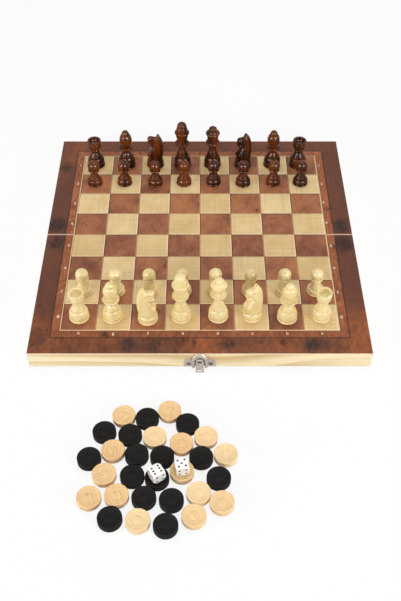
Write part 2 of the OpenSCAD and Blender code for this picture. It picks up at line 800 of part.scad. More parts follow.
function heap_spot(black, k) =
    let (p = HEAP[(black ? len(NATURAL_SPOTS) : 0) + k])
    [heap_x + p[0], heap_y + p[1]];

module draughts(black) {
    r = draught_d / 2;
    b = draught_bevel;
    outline = [[0, 0], [r - b, 0], [r, b], [r, draught_t - b], [r - b, draught_t], [0, draught_t]];
    color(black ? "#17140f" : "#ebc58f")
        for (k = [0:len(black ? BLACK_SPOTS : NATURAL_SPOTS) - 1])
            translate(concat(heap_spot(black, k), table_z)) turned(outline);
}

// Pips of one face of a die, on the face's middle
module pips(count) {
    step = die_edge * pip_step;
    spots = concat(
        count % 2 == 1 ? [[0, 0]] : [],
        count > 1 ? [[-1, -1], [1, 1]] : [],
        count > 3 ? [[-1, 1], [1, -1]] : [],
        count == 6 ? [[-1, 0], [1, 0]] : []
    );
    for (p = spots) translate([p[0] * step, p[1] * step, 0])
        cylinder(h = 2 * pip_depth, r = pip_r, center = true, $fn = 24);
}

module die(top) {
    half = die_edge / 2;
    // Opposite faces add up to seven
    side = top == 1 || top == 6 ? 2 : 6;
    end = top == 3 || top == 4 ? 5 : 3;
    color("white") difference() {
        intersection() {
            cube(die_edge, center = true);
            sphere(half * die_round, $fn = 48);
        }
        translate([0, 0, half]) pips(top);
        translate([0, 0, -half]) pips(7 - top);
        for (s = [0, 1]) {
            rotate([0, 90, 180 * s]) translate([0, 0, half]) pips(s == 0 ? side : 7 - side);
            rotate([0, 90, 90 + 180 * s]) translate([0, 0, half]) pips(s == 0 ? end : 7 - end);
        }
    }
}

// A die on one of the loose draughts, turned a little
module lying_die(spot, top, turn) {
    translate(concat(spot, table_z + draught_t + die_edge / 2)) rotate([0, 0, turn]) die(top);
}

module dice() {
    lying_die(heap_spot(true, BLACK_UNDER_DIE), 6, 32);
    lying_die(heap_spot(false, NATURAL_UNDER_DIE), 5, 12);
}

outer_rail(true);  // front_outer_rail
hinge_rail(true);  // front_hinge_rail
side_rails(true);  // front_side_rails
panel(true);  // front_panel
face_veneer(true);  // front_face_veneer
light_squares(true);  // front_light_squares
lining(true);  // front_lining
outer_rail(false);  // rear_outer_rail
hinge_rail(false);  // rear_hinge_rail
side_rails(false);  // rear_side_rails
panel(false);  // rear_panel
face_veneer(false);  // rear_face_veneer
light_squares(false);  // rear_light_squares
lining(false);  // rear_lining
hinge_leaves(true);  // front_hinge_leaves
hinge_leaves(false);  // rear_hinge_leaves
hinge_pins();
hinge_screws(true);  // front_hinge_screws
hinge_screws(false);  // rear_hinge_screws
clasp_plate();
clasp_hasp();
clasp_pin();
clasp_screws();
catch_plate();
catch_screws();
for (i = [0:7]) {
    row_man(i, false);
    row_man(i, true);
    pawn(i, false);
    pawn(i, true);
}
draughts(false);  // natural_draughts
draughts(true);  // black_draughts
dice();
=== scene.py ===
"""Folding wooden games box: an open inlaid board with chessmen, draughts and dice.

Every piece is in metres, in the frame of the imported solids: the origin is the middle of
the fold line in the plane of the tray rims, +X is right, +Y is back and +Z is up.
"""
from __future__ import annotations

import logging
import math
from dataclasses import dataclass, field
from enum import Enum
from functools import lru_cache
from typing import Any, Callable, Iterable, Sequence

import bmesh
import bpy
from mathutils import Matrix, Vector


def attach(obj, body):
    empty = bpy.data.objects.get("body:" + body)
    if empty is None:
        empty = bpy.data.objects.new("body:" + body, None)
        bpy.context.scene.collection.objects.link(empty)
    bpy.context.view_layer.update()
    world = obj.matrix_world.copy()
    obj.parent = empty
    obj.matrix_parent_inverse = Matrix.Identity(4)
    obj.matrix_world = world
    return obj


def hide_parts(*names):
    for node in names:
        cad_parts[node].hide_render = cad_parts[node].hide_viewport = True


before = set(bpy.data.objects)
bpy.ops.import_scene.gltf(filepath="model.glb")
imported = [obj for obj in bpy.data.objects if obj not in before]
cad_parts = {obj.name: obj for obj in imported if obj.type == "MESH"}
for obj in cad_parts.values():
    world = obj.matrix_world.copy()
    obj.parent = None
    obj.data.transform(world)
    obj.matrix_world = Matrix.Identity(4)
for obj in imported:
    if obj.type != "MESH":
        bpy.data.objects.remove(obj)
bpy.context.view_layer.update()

MM = 0.001
LOG = logging.getLogger("games_box")

Point = tuple[float, float]
Socket = bpy.types.NodeSocket
Colour = tuple[float, float, float, float]


def rgb(code: str) -> Colour:
    """A display colour as the linear colour that a shader takes.

    Args:
        code: six hexadecimal digits after a hash sign.

    Returns:
        The linear red, green, blue and an alpha of 1.
    """
    parts = [int(code[i : i + 2], 16) / 255 for i in (1, 3, 5)]
    linear = [c / 12.92 if c <= 0.04045 else ((c + 0.055) / 1.055) ** 2.4 for c in parts]
    return (linear[0], linear[1], linear[2], 1.0)


class Half(Enum):
    """The two halves of the box."""

    FRONT = "front"
    REAR = "rear"

    @property
    def body(self) -> str:
        """The body that the half's pieces ride on."""
        return f"{self.value}_half"

    @property
    def sign(self) -> int:
        """The side of the fold on which the half lies, along Y."""
        return -1 if self is Half.FRONT else 1


class Side(Enum):
    """The two sets of chessmen."""

    LIGHT = "light"
    DARK = "dark"


# Shader trees


class Tree:
    """Short calls that add nodes to one node tree and link them."""

    def __init__(self, tree: bpy.types.NodeTree) -> None:
        """Keeps the tree that the nodes go into."""
        self.tree = tree

    def add(self, kind: str, inputs: dict[int | str, Any] | None = None, **settings: Any) -> bpy.types.Node:
        """Adds a node.

        Args:
            kind: the node's type name.
            inputs: values or sockets for its inputs, by name or number.
            settings: the node's own settings.

        Returns:
            The new node.
        """
        node = self.tree.nodes.new(kind)
        for key, value in settings.items():
            setattr(node, key, value)
        for key, value in (inputs or {}).items():
            self.feed(node.inputs[key], value)
        return node

    def feed(self, socket: Socket, value: Any) -> None:
        """Links a socket into another one, or sets its value."""
        if isinstance(value, bpy.types.NodeSocket):
            self.tree.links.new(value, socket)
        else:
            socket.default_value = value

    def math(self, operation: str, a: Any, b: Any = 0.0, c: Any = 0.0, clamp: bool = False) -> Socket:
        """A Math node's result."""
        node = self.add("ShaderNodeMath", {0: a, 1: b, 2: c}, operation=operation, use_clamp=clamp)
        return node.outputs[0]

    def mix(self, factor: Any, a: Any, b: Any, blend: str = "MIX") -> Socket:
        """Two colours mixed by a factor.

        Args:
            factor: 0 for the first colour, 1 for the second.
            a: the first colour.
            b: the second colour.
            blend: the way they are mixed.

        Returns:
            The mixed colour.
        """
        node = self.add("ShaderNodeMix", data_type="RGBA", blend_type=blend)
        for index, value in ((0, factor), (6, a), (7, b)):
            self.feed(node.inputs[index], value)
        return node.outputs[2]

    def noise(
        self, at: Socket, scale: float, detail: float = 2.0, rough: float = 0.5, warp: float = 0.0
    ) -> Socket:
        """A Noise Texture's value."""
        values = {"Vector": at, "Scale": scale, "Detail": detail, "Roughness": rough, "Distortion": warp}
        return self.add("ShaderNodeTexNoise", values).outputs[0]

    def ramp(self, factor: Socket, stops: Sequence[tuple[float, Colour]]) -> Socket:
        """A colour from a ramp with the stops given.

        Args:
            factor: the value that runs along the ramp.
            stops: places and colours.

        Returns:
            The colour at the factor.
        """
        node = self.add("ShaderNodeValToRGB", {0: factor})
        elements = node.color_ramp.elements
        while len(elements) < len(stops):
            elements.new(0.5)
        for element, (place, colour) in zip(elements, stops):
            element.position = place
            element.color = colour
        return node.outputs[0]

    def fade(self, value: Socket, low: float, high: float) -> Socket:
        """A mask that rises smoothly from 0 at low to 1 at high, or falls where low is the larger."""
        values = {"Value": value, "From Min": low, "From Max": high, "To Min": 0.0, "To Max": 1.0}
        return self.add("ShaderNodeMapRange", values, interpolation_type="SMOOTHSTEP").outputs[0]

    def line(self, value: Socket, middle: float, half: float, soft: float) -> Socket:
        """A mask that is 1 within half of the middle value and falls to 0 over soft."""
        away = self.math("ABSOLUTE", self.math("SUBTRACT", value, middle))
        return self.fade(away, half + soft, half)

    def scaled(self, at: Socket, scale: Sequence[float], place: Sequence[float] = (0, 0, 0)) -> Socket:
        """Coordinates stretched along their axes, then moved."""
        node = self.add("ShaderNodeMapping", {"Vector": at, "Location": place, "Scale": scale})
        return node.outputs[0]

    def group(self, tree: bpy.types.NodeTree, inputs: dict[str, Any]) -> bpy.types.Node:
        """A node group placed with its own values.

        Args:
            tree: the node group.
            inputs: its values by socket name.

        Returns:
            The placed node.
        """
        node = self.tree.nodes.new("ShaderNodeGroup")
        node.node_tree = tree
        for key, value in inputs.items():
            self.feed(node.inputs[key], value)
        return node


SOCKETS = {float: "NodeSocketFloat", Vector: "NodeSocketVector", tuple: "NodeSocketColor"}


def shader_group(name: str, inputs: dict[str, Any], outputs: dict[str, type]) -> tuple[Tree, Any, Any]:
    """Starts a shader node group.

    Args:
        name: the group's name.
        inputs: each input's name and its default value.
        outputs: each output's name and its kind.

    Returns:
        The tree to add nodes to, the group's input node and its output node.
    """
    tree = bpy.data.node_groups.new(name, "ShaderNodeTree")
    for key, value in inputs.items():
        socket = tree.interface.new_socket(key, in_out="INPUT", socket_type=SOCKETS[type(value)])
        if not isinstance(value, Vector):
            socket.default_value = value
    for key, kind in outputs.items():
        tree.interface.new_socket(key, in_out="OUTPUT", socket_type=SOCKETS[kind])
    return Tree(tree), tree.nodes.new("NodeGroupInput"), tree.nodes.new("NodeGroupOutput")


@lru_cache(maxsize=None)
def grain_group() -> bpy.types.NodeTree:
    """Wood grain that runs along the X of the coordinates it is given.

    Returns:
        A group with the colour, a height and a mask of the dark lines.
    """
    t, given, out = shader_group(
        "wood_grain",
        {
            "Vector": Vector(), "Rings": 60.0, "Stretch": 0.06, "Waver": 4.0,
            "Light": rgb("#ffffff"), "Mid": rgb("#cccccc"), "Dark": rgb("#888888"),
        },
        {"Color": tuple, "Height": float, "Lines": float},
    )
    squash = t.add("ShaderNodeCombineXYZ", {0: given.outputs["Stretch"], 1: 1.0, 2: 1.0}).outputs[0]
    along = t.add(
        "ShaderNodeVectorMath", {0: given.outputs["Vector"], 1: squash}, operation="MULTIPLY"
    ).outputs[0]
    slow = t.noise(along, 22.0, 1.5, 0.45)
    cross = t.add("ShaderNodeSeparateXYZ", {0: along})
    depth = t.math("ADD", cross.outputs[1], t.math("MULTIPLY", cross.outputs[2], 0.7))
    waver = t.math("MULTIPLY", slow, given.outputs["Waver"])
    turns = t.math("ADD", t.math("MULTIPLY", depth, given.outputs["Rings"]), waver)
    saw = t.math("FRACT", turns)
    late = t.fade(saw, 0.2, 0.85)
    early = t.fade(saw, 1.0, 0.86)
    rings = t.math("MULTIPLY", late, early)
    fibres = t.noise(t.scaled(along, (1.0, 14.0, 14.0)), 60.0, 4.0, 0.6)
    pores = t.fade(t.noise(t.scaled(along, (1.6, 30.0, 30.0)), 55.0, 2.0, 0.5), 0.56, 0.72)
    body = t.mix(t.fade(fibres, 0.3, 0.7), given.outputs["Light"], given.outputs["Mid"])
    lines = t.math("MULTIPLY", rings, t.fade(slow, 0.2, 0.75), clamp=True)
    both = t.math("MAXIMUM", t.math("MULTIPLY", lines, 0.8), t.math("MULTIPLY", pores, 0.35))
    t.feed(out.inputs["Color"], t.mix(both, body, given.outputs["Dark"]))
    t.feed(out.inputs["Lines"], lines)
    height = t.math("SUBTRACT", t.math("MULTIPLY", fibres, 0.6), t.math("MULTIPLY", both, 0.6))
    t.feed(out.inputs["Height"], height)
    return t.tree


@lru_cache(maxsize=None)
def wear_group() -> bpy.types.NodeTree:
    """Handling wear: smudges that change the roughness, and fine dents.

    Returns:
        A group with the roughness and a height.
    """
    t, given, out = shader_group(
        "handling_wear",
        {"Vector": Vector(), "Roughness": 0.4, "Smudge": 0.12, "Scale": 60.0},
        {"Roughness": float, "Height": float},
    )
    wide = t.add("ShaderNodeTexNoise", {"Vector": given.outputs["Vector"], "Detail": 3.0})
    t.feed(wide.inputs["Scale"], given.outputs["Scale"])
    fine = t.noise(given.outputs["Vector"], 2600.0, 2.0, 0.6)
    smudge = t.math("MULTIPLY", t.math("SUBTRACT", wide.outputs[0], 0.5), given.outputs["Smudge"])
    rough = t.math("ADD", given.outputs["Roughness"], t.math("MULTIPLY", smudge, 2.0), clamp=True)
    t.feed(out.inputs["Roughness"], rough)
    t.feed(out.inputs["Height"], t.math("ADD", t.math("MULTIPLY", wide.outputs[0], 0.6), fine))
    return t.tree


@lru_cache(maxsize=None)
def weave_group() -> bpy.types.NodeTree:
    """Fine threads that cross at right angles in the XY plane.

    Returns:
        A group with a mask of the threads' shade and a height.
    """
    t, given, out = shader_group(
        "fine_weave", {"Vector": Vector(), "Pitch": 0.0011}, {"Shade": float, "Height": float}
    )
    loose = t.noise(given.outputs["Vector"], 70.0, 2.0)
    spread = t.math("MULTIPLY", t.math("SUBTRACT", loose, 0.5), 2.2)
    axes = t.add("ShaderNodeSeparateXYZ", {0: given.outputs["Vector"]})
    waves: list[Socket] = []
    for i, (across, along) in enumerate(((1.0, 0.02), (0.02, 1.0))):
        turn = t.math("DIVIDE", axes.outputs[i], given.outputs["Pitch"])
        wave = t.math("SINE", t.math("MULTIPLY_ADD", turn, math.tau, spread))
        strand = t.noise(t.scaled(given.outputs["Vector"], (across, along, 1.0)), 820.0, 3.0, 0.7)
        thick = t.math("MULTIPLY_ADD", t.fade(strand, 0.46, 0.64), 1.0, -0.5)
        waves.append(t.math("MULTIPLY_ADD", wave, 0.06, thick))
    both = t.math("ADD", waves[0], waves[1])
    t.feed(out.inputs["Shade"], t.fade(both, -0.9, 0.9))
    t.feed(out.inputs["Height"], both)
    return t.tree


@dataclass(frozen=True)
class BoardPlan:
    """The drawing of the board's face, in metres."""

    square: float = 0.035
    play_half: float = 0.14
    cream_width: float = 0.00075
    band_x: float = 0.1498
    band_y: float = 0.1502
    band_line: float = 0.0005
    seam_half: float = 0.0007
    face_z: float = 0.0205
    half_side: float = 0.17

    def axes(self, t: Tree, at: Socket) -> tuple[Socket, Socket]:
        """The X and Y of a point."""
        parts = t.add("ShaderNodeSeparateXYZ", {0: at})
        return parts.outputs[0], parts.outputs[1]

    def in_square(self, t: Tree, at: Socket) -> tuple[Socket, Socket]:
        """How far a point lies from the left and from the front edge of its square.

        Args:
            t: the material's tree.
            at: the object's own coordinates.

        Returns:
            Both distances, in metres.
        """
        x, y = self.axes(t, at)
        across, up = (
            t.math("MULTIPLY", t.math("FRACT", t.math("MULTIPLY_ADD", v, 1 / self.square, 8.0)), self.square)
            for v in (x, y)
        )
        return across, up

    def lit_edges(self, t: Tree, at: Socket, width: float) -> Socket:
        """A mask of the right and front edges of each square, where a highlight is painted.

        Args:
            t: the material's tree.
            at: the object's own coordinates.
            width: the edge's width.

        Returns:
            The mask.
        """
        across, up = self.in_square(t, at)
        right = t.fade(across, self.square - width, self.square - width * 0.7)
        front = t.fade(up, width, width * 0.7)
        return t.math("MAXIMUM", right, front)

    def dim_edges(self, t: Tree, at: Socket, width: float) -> Socket:
        """A mask of the left and back edges of each square, where shade is painted.

        Args:
            t: the material's tree.
            at: the object's own coordinates.
            width: the edge's width.

        Returns:
            The mask.
        """
        across, up = self.in_square(t, at)
        left = t.fade(across, width, width * 0.6)
        back = t.fade(up, self.square - width, self.square - width * 0.6)
        return t.math("MAXIMUM", left, back)

    def outside(self, t: Tree, at: Socket, half_x: float, half_y: float) -> Socket:
        """How far a point lies outside a rectangle about the board's middle, by its longer reach.

        Args:
            t: the material's tree.
            at: the object's own coordinates.
            half_x: half the rectangle's width.
            half_y: half its depth.

        Returns:
            The distance, below zero inside.
        """
        x, y = self.axes(t, at)
        reach_x = t.math("SUBTRACT", t.math("ABSOLUTE", x), half_x)
        reach_y = t.math("SUBTRACT", t.math("ABSOLUTE", y), half_y)
        return t.math("MAXIMUM", reach_x, reach_y)


PLAN = BoardPlan()


class Finish:
    """A material: its subclasses say what colour, roughness and relief it has."""

    name: str

    def material(self) -> bpy.types.Material:
        """The material, made at the first call.

        Returns:
            The same material at each call.
        """
        label = f"{self.name}_finish"
        made = bpy.data.materials.get(label)
        if made:
            return made
        made = bpy.data.materials.new(label)
        made.use_nodes = True
        made.node_tree.nodes.clear()
        t = Tree(made.node_tree)
        shader = t.add("ShaderNodeBsdfPrincipled")
        out = t.add("ShaderNodeOutputMaterial")
        t.feed(out.inputs["Surface"], shader.outputs[0])
        at = t.add("ShaderNodeTexCoord").outputs["Object"]
        self.dress(t, shader, at)
        return made

    def dress(self, t: Tree, shader: bpy.types.Node, at: Socket) -> None:
        """Adds the finish's own nodes."""
        raise NotImplementedError

    @staticmethod
    def relief(t: Tree, shader: bpy.types.Node, height: Socket, depth: float, strength: float = 1.0) -> None:
        """Feeds a height into the shader's normal."""
        bump = t.add("ShaderNodeBump", {"Height": height, "Distance": depth, "Strength": strength})
        t.feed(shader.inputs["Normal"], bump.outputs[0])


@dataclass(frozen=True)
class Wood(Finish):
    """Plain wood with grain along one axis."""

    name: str
    light: str
    mid: str
    dark: str
    axis: str = "X"
    rings: float = 60.0
    stretch: float = 0.06
    waver: float = 4.0
    roughness: float = 0.55
    smudge: float = 0.1
    coat: float = 0.0
    coat_roughness: float = 0.1
    relief_depth: float = 0.00015
    offset: tuple[float, float, float] = (0.0, 0.0, 0.0)
    # Half width and height of the painted shadow behind the clasp's arch, and the width of its soft edge.
    arch_shadow_size: tuple[float, float] = (0.0049, 0.0149)
    arch_shadow_edge: float = 0.0007

    def turned(self, t: Tree, at: Socket) -> Socket:
        """Coordinates whose X runs along the grain.

        Args:
            t: the material's tree.
            at: the object's own coordinates.

        Returns:
            The turned coordinates.
        """
        parts = t.add("ShaderNodeSeparateXYZ", {0: at}).outputs
        order = {"X": (0, 1, 2), "Y": (1, 0, 2), "Z": (2, 0, 1)}[self.axis]
        joined = t.add("ShaderNodeCombineXYZ", {i: parts[k] for i, k in enumerate(order)})
        return t.scaled(joined.outputs[0], (1, 1, 1), self.offset)

    def painted_arch_shadow(self, t: Tree, at: Socket) -> Socket:
        """A painted shadow on the front face behind the clasp's arch, as a mask.

        Args:
            t: the material's tree.
            at: the object's own coordinates.

        Returns:
            The mask.
        """
        x, y, z = t.add("ShaderNodeSeparateXYZ", {0: at}).outputs
        wide, tall = self.arch_shadow_size
        across = t.fade(t.math("ABSOLUTE", x), wide, wide - self.arch_shadow_edge)
        inside = t.math("MULTIPLY", across, t.fade(z, tall, tall - self.arch_shadow_edge))
        face = 0.0002 - PLAN.half_side
        return t.math("MULTIPLY", inside, t.fade(y, face + 0.0004, face))

    def dress(self, t: Tree, shader: bpy.types.Node, at: Socket) -> None:
        """Grain, handling wear, an optional lacquer and a painted shadow behind the clasp's arch.

        Args:
            t: the material's tree.
            shader: the Principled shader that the colours and values go to.
            at: the object's own coordinates.
        """
        grain = t.group(
            grain_group(),
            {
                "Vector": self.turned(t, at), "Rings": self.rings, "Stretch": self.stretch,
                "Waver": self.waver, "Light": rgb(self.light), "Mid": rgb(self.mid), "Dark": rgb(self.dark),
            },
        )
        wear = t.group(wear_group(), {"Vector": at, "Roughness": self.roughness, "Smudge": self.smudge})
        # Painted shadow: the front face behind the clasp's arch goes near black.
        t.feed(shader.inputs["Base Color"], t.mix(self.painted_arch_shadow(t, at), grain.outputs["Color"], rgb("#0c0907")))
        t.feed(shader.inputs["Roughness"], wear.outputs["Roughness"])
        shader.inputs["Coat Weight"].default_value = self.coat
        shader.inputs["Coat Roughness"].default_value = self.coat_roughness
        height = t.math("ADD", grain.outputs["Height"], t.math("MULTIPLY", wear.outputs["Height"], 0.15))
        self.relief(t, shader, height, self.relief_depth, 0.5)


@dataclass(frozen=True)
class BurlVeneer(Finish):
    """The burl face with its dark squares, the lighter band and the lines."""

    name: str = "burl_veneer_face"
    roughness: float = 0.4
    gloss: float = 0.18
    streaks: tuple[tuple[float, float, float, float], ...] = (
        (-0.071, -0.158, 0.006, 0.014), (-0.046, -0.160, 0.008, 0.013), (-0.093, -0.147, 0.007, 0.004),
        (-0.006, -0.158, 0.003, 0.006), (0.029, -0.158, 0.014, 0.009), (0.112, -0.160, 0.009, 0.013),
        (0.062, -0.152, 0.004, 0.004), (0.083, -0.155, 0.004, 0.006), (-0.160, 0.016, 0.012, 0.014),
        (-0.160, -0.014, 0.011, 0.010), (0.160, 0.014, 0.010, 0.014), (0.161, -0.016, 0.012, 0.016),
        (0.150, 0.044, 0.005, 0.005), (0.149, -0.020, 0.004, 0.005), (-0.162, 0.118, 0.008, 0.012),
    )
    clouds: tuple[tuple[float, float, float, float], ...] = (
        (-0.160, 0.016, 0.014, 0.015), (-0.154, -0.012, 0.013, 0.017), (0.159, 0.013, 0.013, 0.015),
        (0.157, -0.015, 0.014, 0.017), (-0.064, -0.162, 0.03, 0.01), (0.118, -0.158, 0.022, 0.012),
    )

    def warped(self, t: Tree, at: Socket, scale: float, reach: float) -> Socket:
        """Coordinates pushed about by noise, so that shapes on them are ragged."""
        push = t.add("ShaderNodeTexNoise", {"Vector": at, "Scale": scale, "Detail": 3.0}).outputs[1]
        return t.add(
            "ShaderNodeVectorMath", {0: push, 1: (reach,) * 3, 2: at}, operation="MULTIPLY_ADD"
        ).outputs[0]

    def eyes(self, t: Tree, at: Socket) -> Socket:
        """A mask of small dark eyes, alone and in clusters.

        Args:
            t: the material's tree.
            at: the object's own coordinates.

        Returns:
            The mask.
        """
        ragged = self.warped(t, at, 260.0, 0.003)
        masks: list[Socket] = []
        for scale, rare, wide in ((44.0, 0.72, 0.15), (95.0, 0.8, 0.19)):
            cells = t.add("ShaderNodeTexVoronoi", {"Vector": ragged, "Scale": scale, "Randomness": 1.0})
            pick = t.add("ShaderNodeSeparateColor", {0: cells.outputs["Color"]}).outputs[0]
            dot = t.fade(cells.outputs["Distance"], wide, 0.03)
            masks.append(t.math("MULTIPLY", dot, t.fade(pick, rare, rare + 0.1)))
        return t.math("MAXIMUM", masks[0], masks[1])

    def blots(
        self, t: Tree, at: Socket, spots: Sequence[tuple[float, float, float, float]], push: float
    ) -> Socket:
        """A mask of soft ovals, ragged at their edges.

        Args:
            t: the tree.
            at: the coordinates.
            spots: middle, half width and half height of each oval, in metres.
            push: how far the edges are pushed about, in metres.

        Returns:
            The mask.
        """
        ragged = self.warped(t, at, 120.0, push)
        half = (push / 2, push / 2, 0.0)
        centred = t.add("ShaderNodeVectorMath", {0: ragged, 1: half}, operation="SUBTRACT").outputs[0]
        total: Socket | None = None
        for x, y, wide, tall in spots:
            shape = t.scaled(centred, (1 / wide, 1 / tall, 0.0), (-x / wide, -y / tall, 0.0))
            length = t.add("ShaderNodeVectorMath", {0: shape}, operation="LENGTH").outputs["Value"]
            mask = t.fade(length, 1.25, 0.25)
            total = mask if total is None else t.math("MAXIMUM", total, mask)
        return total

    def dark_streaks(self, t: Tree, at: Socket) -> Socket:
        """A mask of the large dark streaks of the border, broken up by finer noise."""
        grit = t.noise(t.scaled(at, (1.0, 0.5, 1.0)), 330.0, 4.0, 0.7)
        return t.math("MULTIPLY", self.blots(t, at, self.streaks, 0.016), t.fade(grit, 0.34, 0.56))

    def dress(self, t: Tree, shader: bpy.types.Node, at: Socket) -> None:
        """Border, band, lines and dark squares, told apart by where a point lies, with painted highlight and
        shade on the squares' edges.

        Args:
            t: the material's tree.
            shader: the Principled shader that the colours and values go to.
            at: the object's own coordinates.
        """
        x, y = PLAN.axes(t, at)
        cloud = t.noise(t.scaled(at, (1.0, 0.7, 1.0)), 17.0, 4.0, 0.6, 0.8)
        swirl = t.noise(t.scaled(at, (1.0, 0.6, 1.0)), 85.0, 5.0, 0.66, 2.2)
        fine = t.noise(t.scaled(at, (1.0, 0.35, 1.0)), 420.0, 3.0, 0.65, 0.6)
        joined = t.math("MULTIPLY_ADD", cloud, 0.55, t.math("MULTIPLY", swirl, 0.33))
        joined = t.math("MULTIPLY_ADD", fine, 0.12, joined)
        border = t.ramp(
            joined,
            [
                (0.34, rgb("#3d221a")), (0.44, rgb("#5f341f")), (0.51, rgb("#774225")),
                (0.58, rgb("#8f4e28")), (0.68, rgb("#a96232")),
            ],
        )
        sides = t.fade(t.math("ABSOLUTE", x), PLAN.band_x - 0.0002, PLAN.band_x + 0.0002)
        middle = t.fade(t.math("ABSOLUTE", y), 0.15, 0.05)
        border = t.mix(t.math("MULTIPLY", t.math("MULTIPLY", sides, middle), 0.55), border, rgb("#40251e"))
        border = t.mix(t.math("MULTIPLY", t.fade(y, -0.14, -0.1), 0.6), border, rgb("#63392a"))
        cloud = t.math("MULTIPLY", self.blots(t, at, self.clouds, 0.008), 0.62)
        border = t.mix(cloud, border, rgb("#30211c"))
        band = t.ramp(
            t.math("MULTIPLY_ADD", fine, 0.3, t.math("MULTIPLY", swirl, 0.7)),
            [(0.36, rgb("#763f26")), (0.5, rgb("#935434")), (0.64, rgb("#ab6a41"))],
        )
        band = t.mix(t.math("MULTIPLY", t.fade(y, -0.12, -0.146), 0.3), band, rgb("#5c3119"))
        cell = t.add("ShaderNodeVectorMath", {0: at, 1: (1 / PLAN.square,) * 3}, operation="MULTIPLY")
        floor = t.add("ShaderNodeVectorMath", {0: cell.outputs[0]}, operation="FLOOR")
        cell = {"Vector": floor.outputs[0]}
        tone = t.add("ShaderNodeTexWhiteNoise", cell, noise_dimensions="3D").outputs[0]
        shift = {0: floor.outputs[0], 1: (0.37,) * 3, 2: at}
        own = t.add("ShaderNodeVectorMath", shift, operation="MULTIPLY_ADD")
        leaf = t.noise(t.scaled(own.outputs[0], (1.0, 0.7, 1.0)), 42.0, 5.0, 0.6, 0.7)
        shade = t.math("MULTIPLY_ADD", leaf, 0.62, t.math("MULTIPLY_ADD", fine, 0.22, 0.08))
        shade = t.math("ADD", shade, t.math("MULTIPLY_ADD", tone, 0.12, -0.06))
        dark = t.ramp(
            shade,
            [
                (0.32, rgb("#693e2c")), (0.43, rgb("#865138")), (0.52, rgb("#9d6442")),
                (0.62, rgb("#ac7048")), (0.72, rgb("#b97e4e")),
            ],
        )
        play = PLAN.outside(t, at, PLAN.play_half, PLAN.play_half)
        edge = PLAN.outside(t, at, PLAN.band_x, PLAN.band_y)
        colour = t.mix(t.fade(edge, 0.0003, -0.0003), border, band)
        colour = t.mix(t.fade(play, 0.0002, -0.0002), colour, dark)
        colour = t.mix(t.math("MULTIPLY", self.eyes(t, at), 0.7), colour, rgb("#35190f"))
        colour = t.mix(t.math("MULTIPLY", self.dark_streaks(t, at), 0.82), colour, rgb("#2b1712"))
        inside = t.fade(play, 0.0, -0.0002)
        # Painted highlight on the right and front edges of each dark square, painted shade on its left and
        # back edges.
        lit = t.math("MULTIPLY", PLAN.lit_edges(t, at, 0.0006), inside)
        dim = t.math("MULTIPLY", PLAN.dim_edges(t, at, 0.0012), inside)
        colour = t.mix(t.math("MULTIPLY", lit, 0.5), colour, rgb("#d8b48c"))
        colour = t.mix(t.math("MULTIPLY", dim, 0.75), colour, rgb("#3a2018"))
        cream = t.line(play, PLAN.cream_width * 0.65, PLAN.cream_width * 0.5, 0.0002)
        colour = t.mix(t.math("MULTIPLY", cream, 0.95), colour, rgb("#dfc094"))
        shadow = t.line(play, PLAN.cream_width * 1.9, 0.00025, 0.0003)
        colour = t.mix(t.math("MULTIPLY", shadow, 0.45), colour, rgb("#4c2a1c"))
        frame_line = t.line(edge, 0.0, PLAN.band_line, 0.0003)
        colour = t.mix(t.math("MULTIPLY", frame_line, 0.85), colour, rgb("#341c14"))
        seam = t.math("MULTIPLY", t.line(y, 0.0, PLAN.seam_half, 0.0002), t.fade(play, -0.0002, 0.0))
        colour = t.mix(t.math("MULTIPLY", seam, 0.85), colour, rgb("#e2c3a8"))
        wear = t.group(
            wear_group(), {"Vector": at, "Roughness": self.roughness, "Smudge": 0.1, "Scale": 25.0}
        )
        t.feed(shader.inputs["Base Color"], colour)
        t.feed(shader.inputs["Roughness"], wear.outputs["Roughness"])
        shader.inputs["Specular IOR Level"].default_value = self.gloss
        height = t.math("ADD", fine, t.math("MULTIPLY", wear.outputs["Height"], 0.2))
        self.relief(t, shader, height, 0.00004, 0.5)


@dataclass(frozen=True)
class LightSquare(Finish):
    """The inlaid light squares: pale veneer with a fine weave, a painted highlight on the front and right
    edge and painted shade on the left and back edge.
    """

    name: str = "light_square_veneer"

    def dress(self, t: Tree, shader: bpy.types.Node, at: Socket) -> None:
        """Pale wood, crossed threads, a tone for each square, and painted highlight and shade on its edges.

        Args:
            t: the material's tree.
            shader: the Principled shader that the colours and values go to.
            at: the object's own coordinates.
        """
        weave = t.group(weave_group(), {"Vector": at, "Pitch": 0.0011})
        cell = t.add("ShaderNodeVectorMath", {0: at, 1: (1 / PLAN.square,) * 3}, operation="MULTIPLY")
        floor = t.add("ShaderNodeVectorMath", {0: cell.outputs[0]}, operation="FLOOR")
        cell = {"Vector": floor.outputs[0]}
        tone = t.add("ShaderNodeTexWhiteNoise", cell, noise_dimensions="3D").outputs[0]
        slow = t.noise(at, 45.0, 3.0)
        shade = t.math("ADD", t.math("MULTIPLY", slow, 0.8), t.math("MULTIPLY_ADD", tone, 0.4, -0.1))
        colour = t.ramp(
            shade, [(0.25, rgb("#cdac76")), (0.5, rgb("#d9ba85")), (0.8, rgb("#e4ca98"))]
        )
        colour = t.mix(t.math("MULTIPLY", weave.outputs["Shade"], 0.42), colour, rgb("#ab8a57"))
        # Painted highlight on the right and front edges of each light square, painted shade on its left and
        # back edges.
        lit = PLAN.lit_edges(t, at, 0.0011)
        colour = t.mix(t.math("MULTIPLY", lit, 0.9), colour, rgb("#f3dfba"))
        dim = PLAN.dim_edges(t, at, 0.0008)
        colour = t.mix(t.math("MULTIPLY", dim, 0.75), colour, rgb("#8f6a45"))
        wear = t.group(wear_group(), {"Vector": at, "Roughness": 0.45, "Smudge": 0.08, "Scale": 30.0})
        t.feed(shader.inputs["Base Color"], colour)
        t.feed(shader.inputs["Roughness"], wear.outputs["Roughness"])
        shader.inputs["Specular IOR Level"].default_value = 0.3
        self.relief(t, shader, weave.outputs["Height"], 0.00003, 0.5)


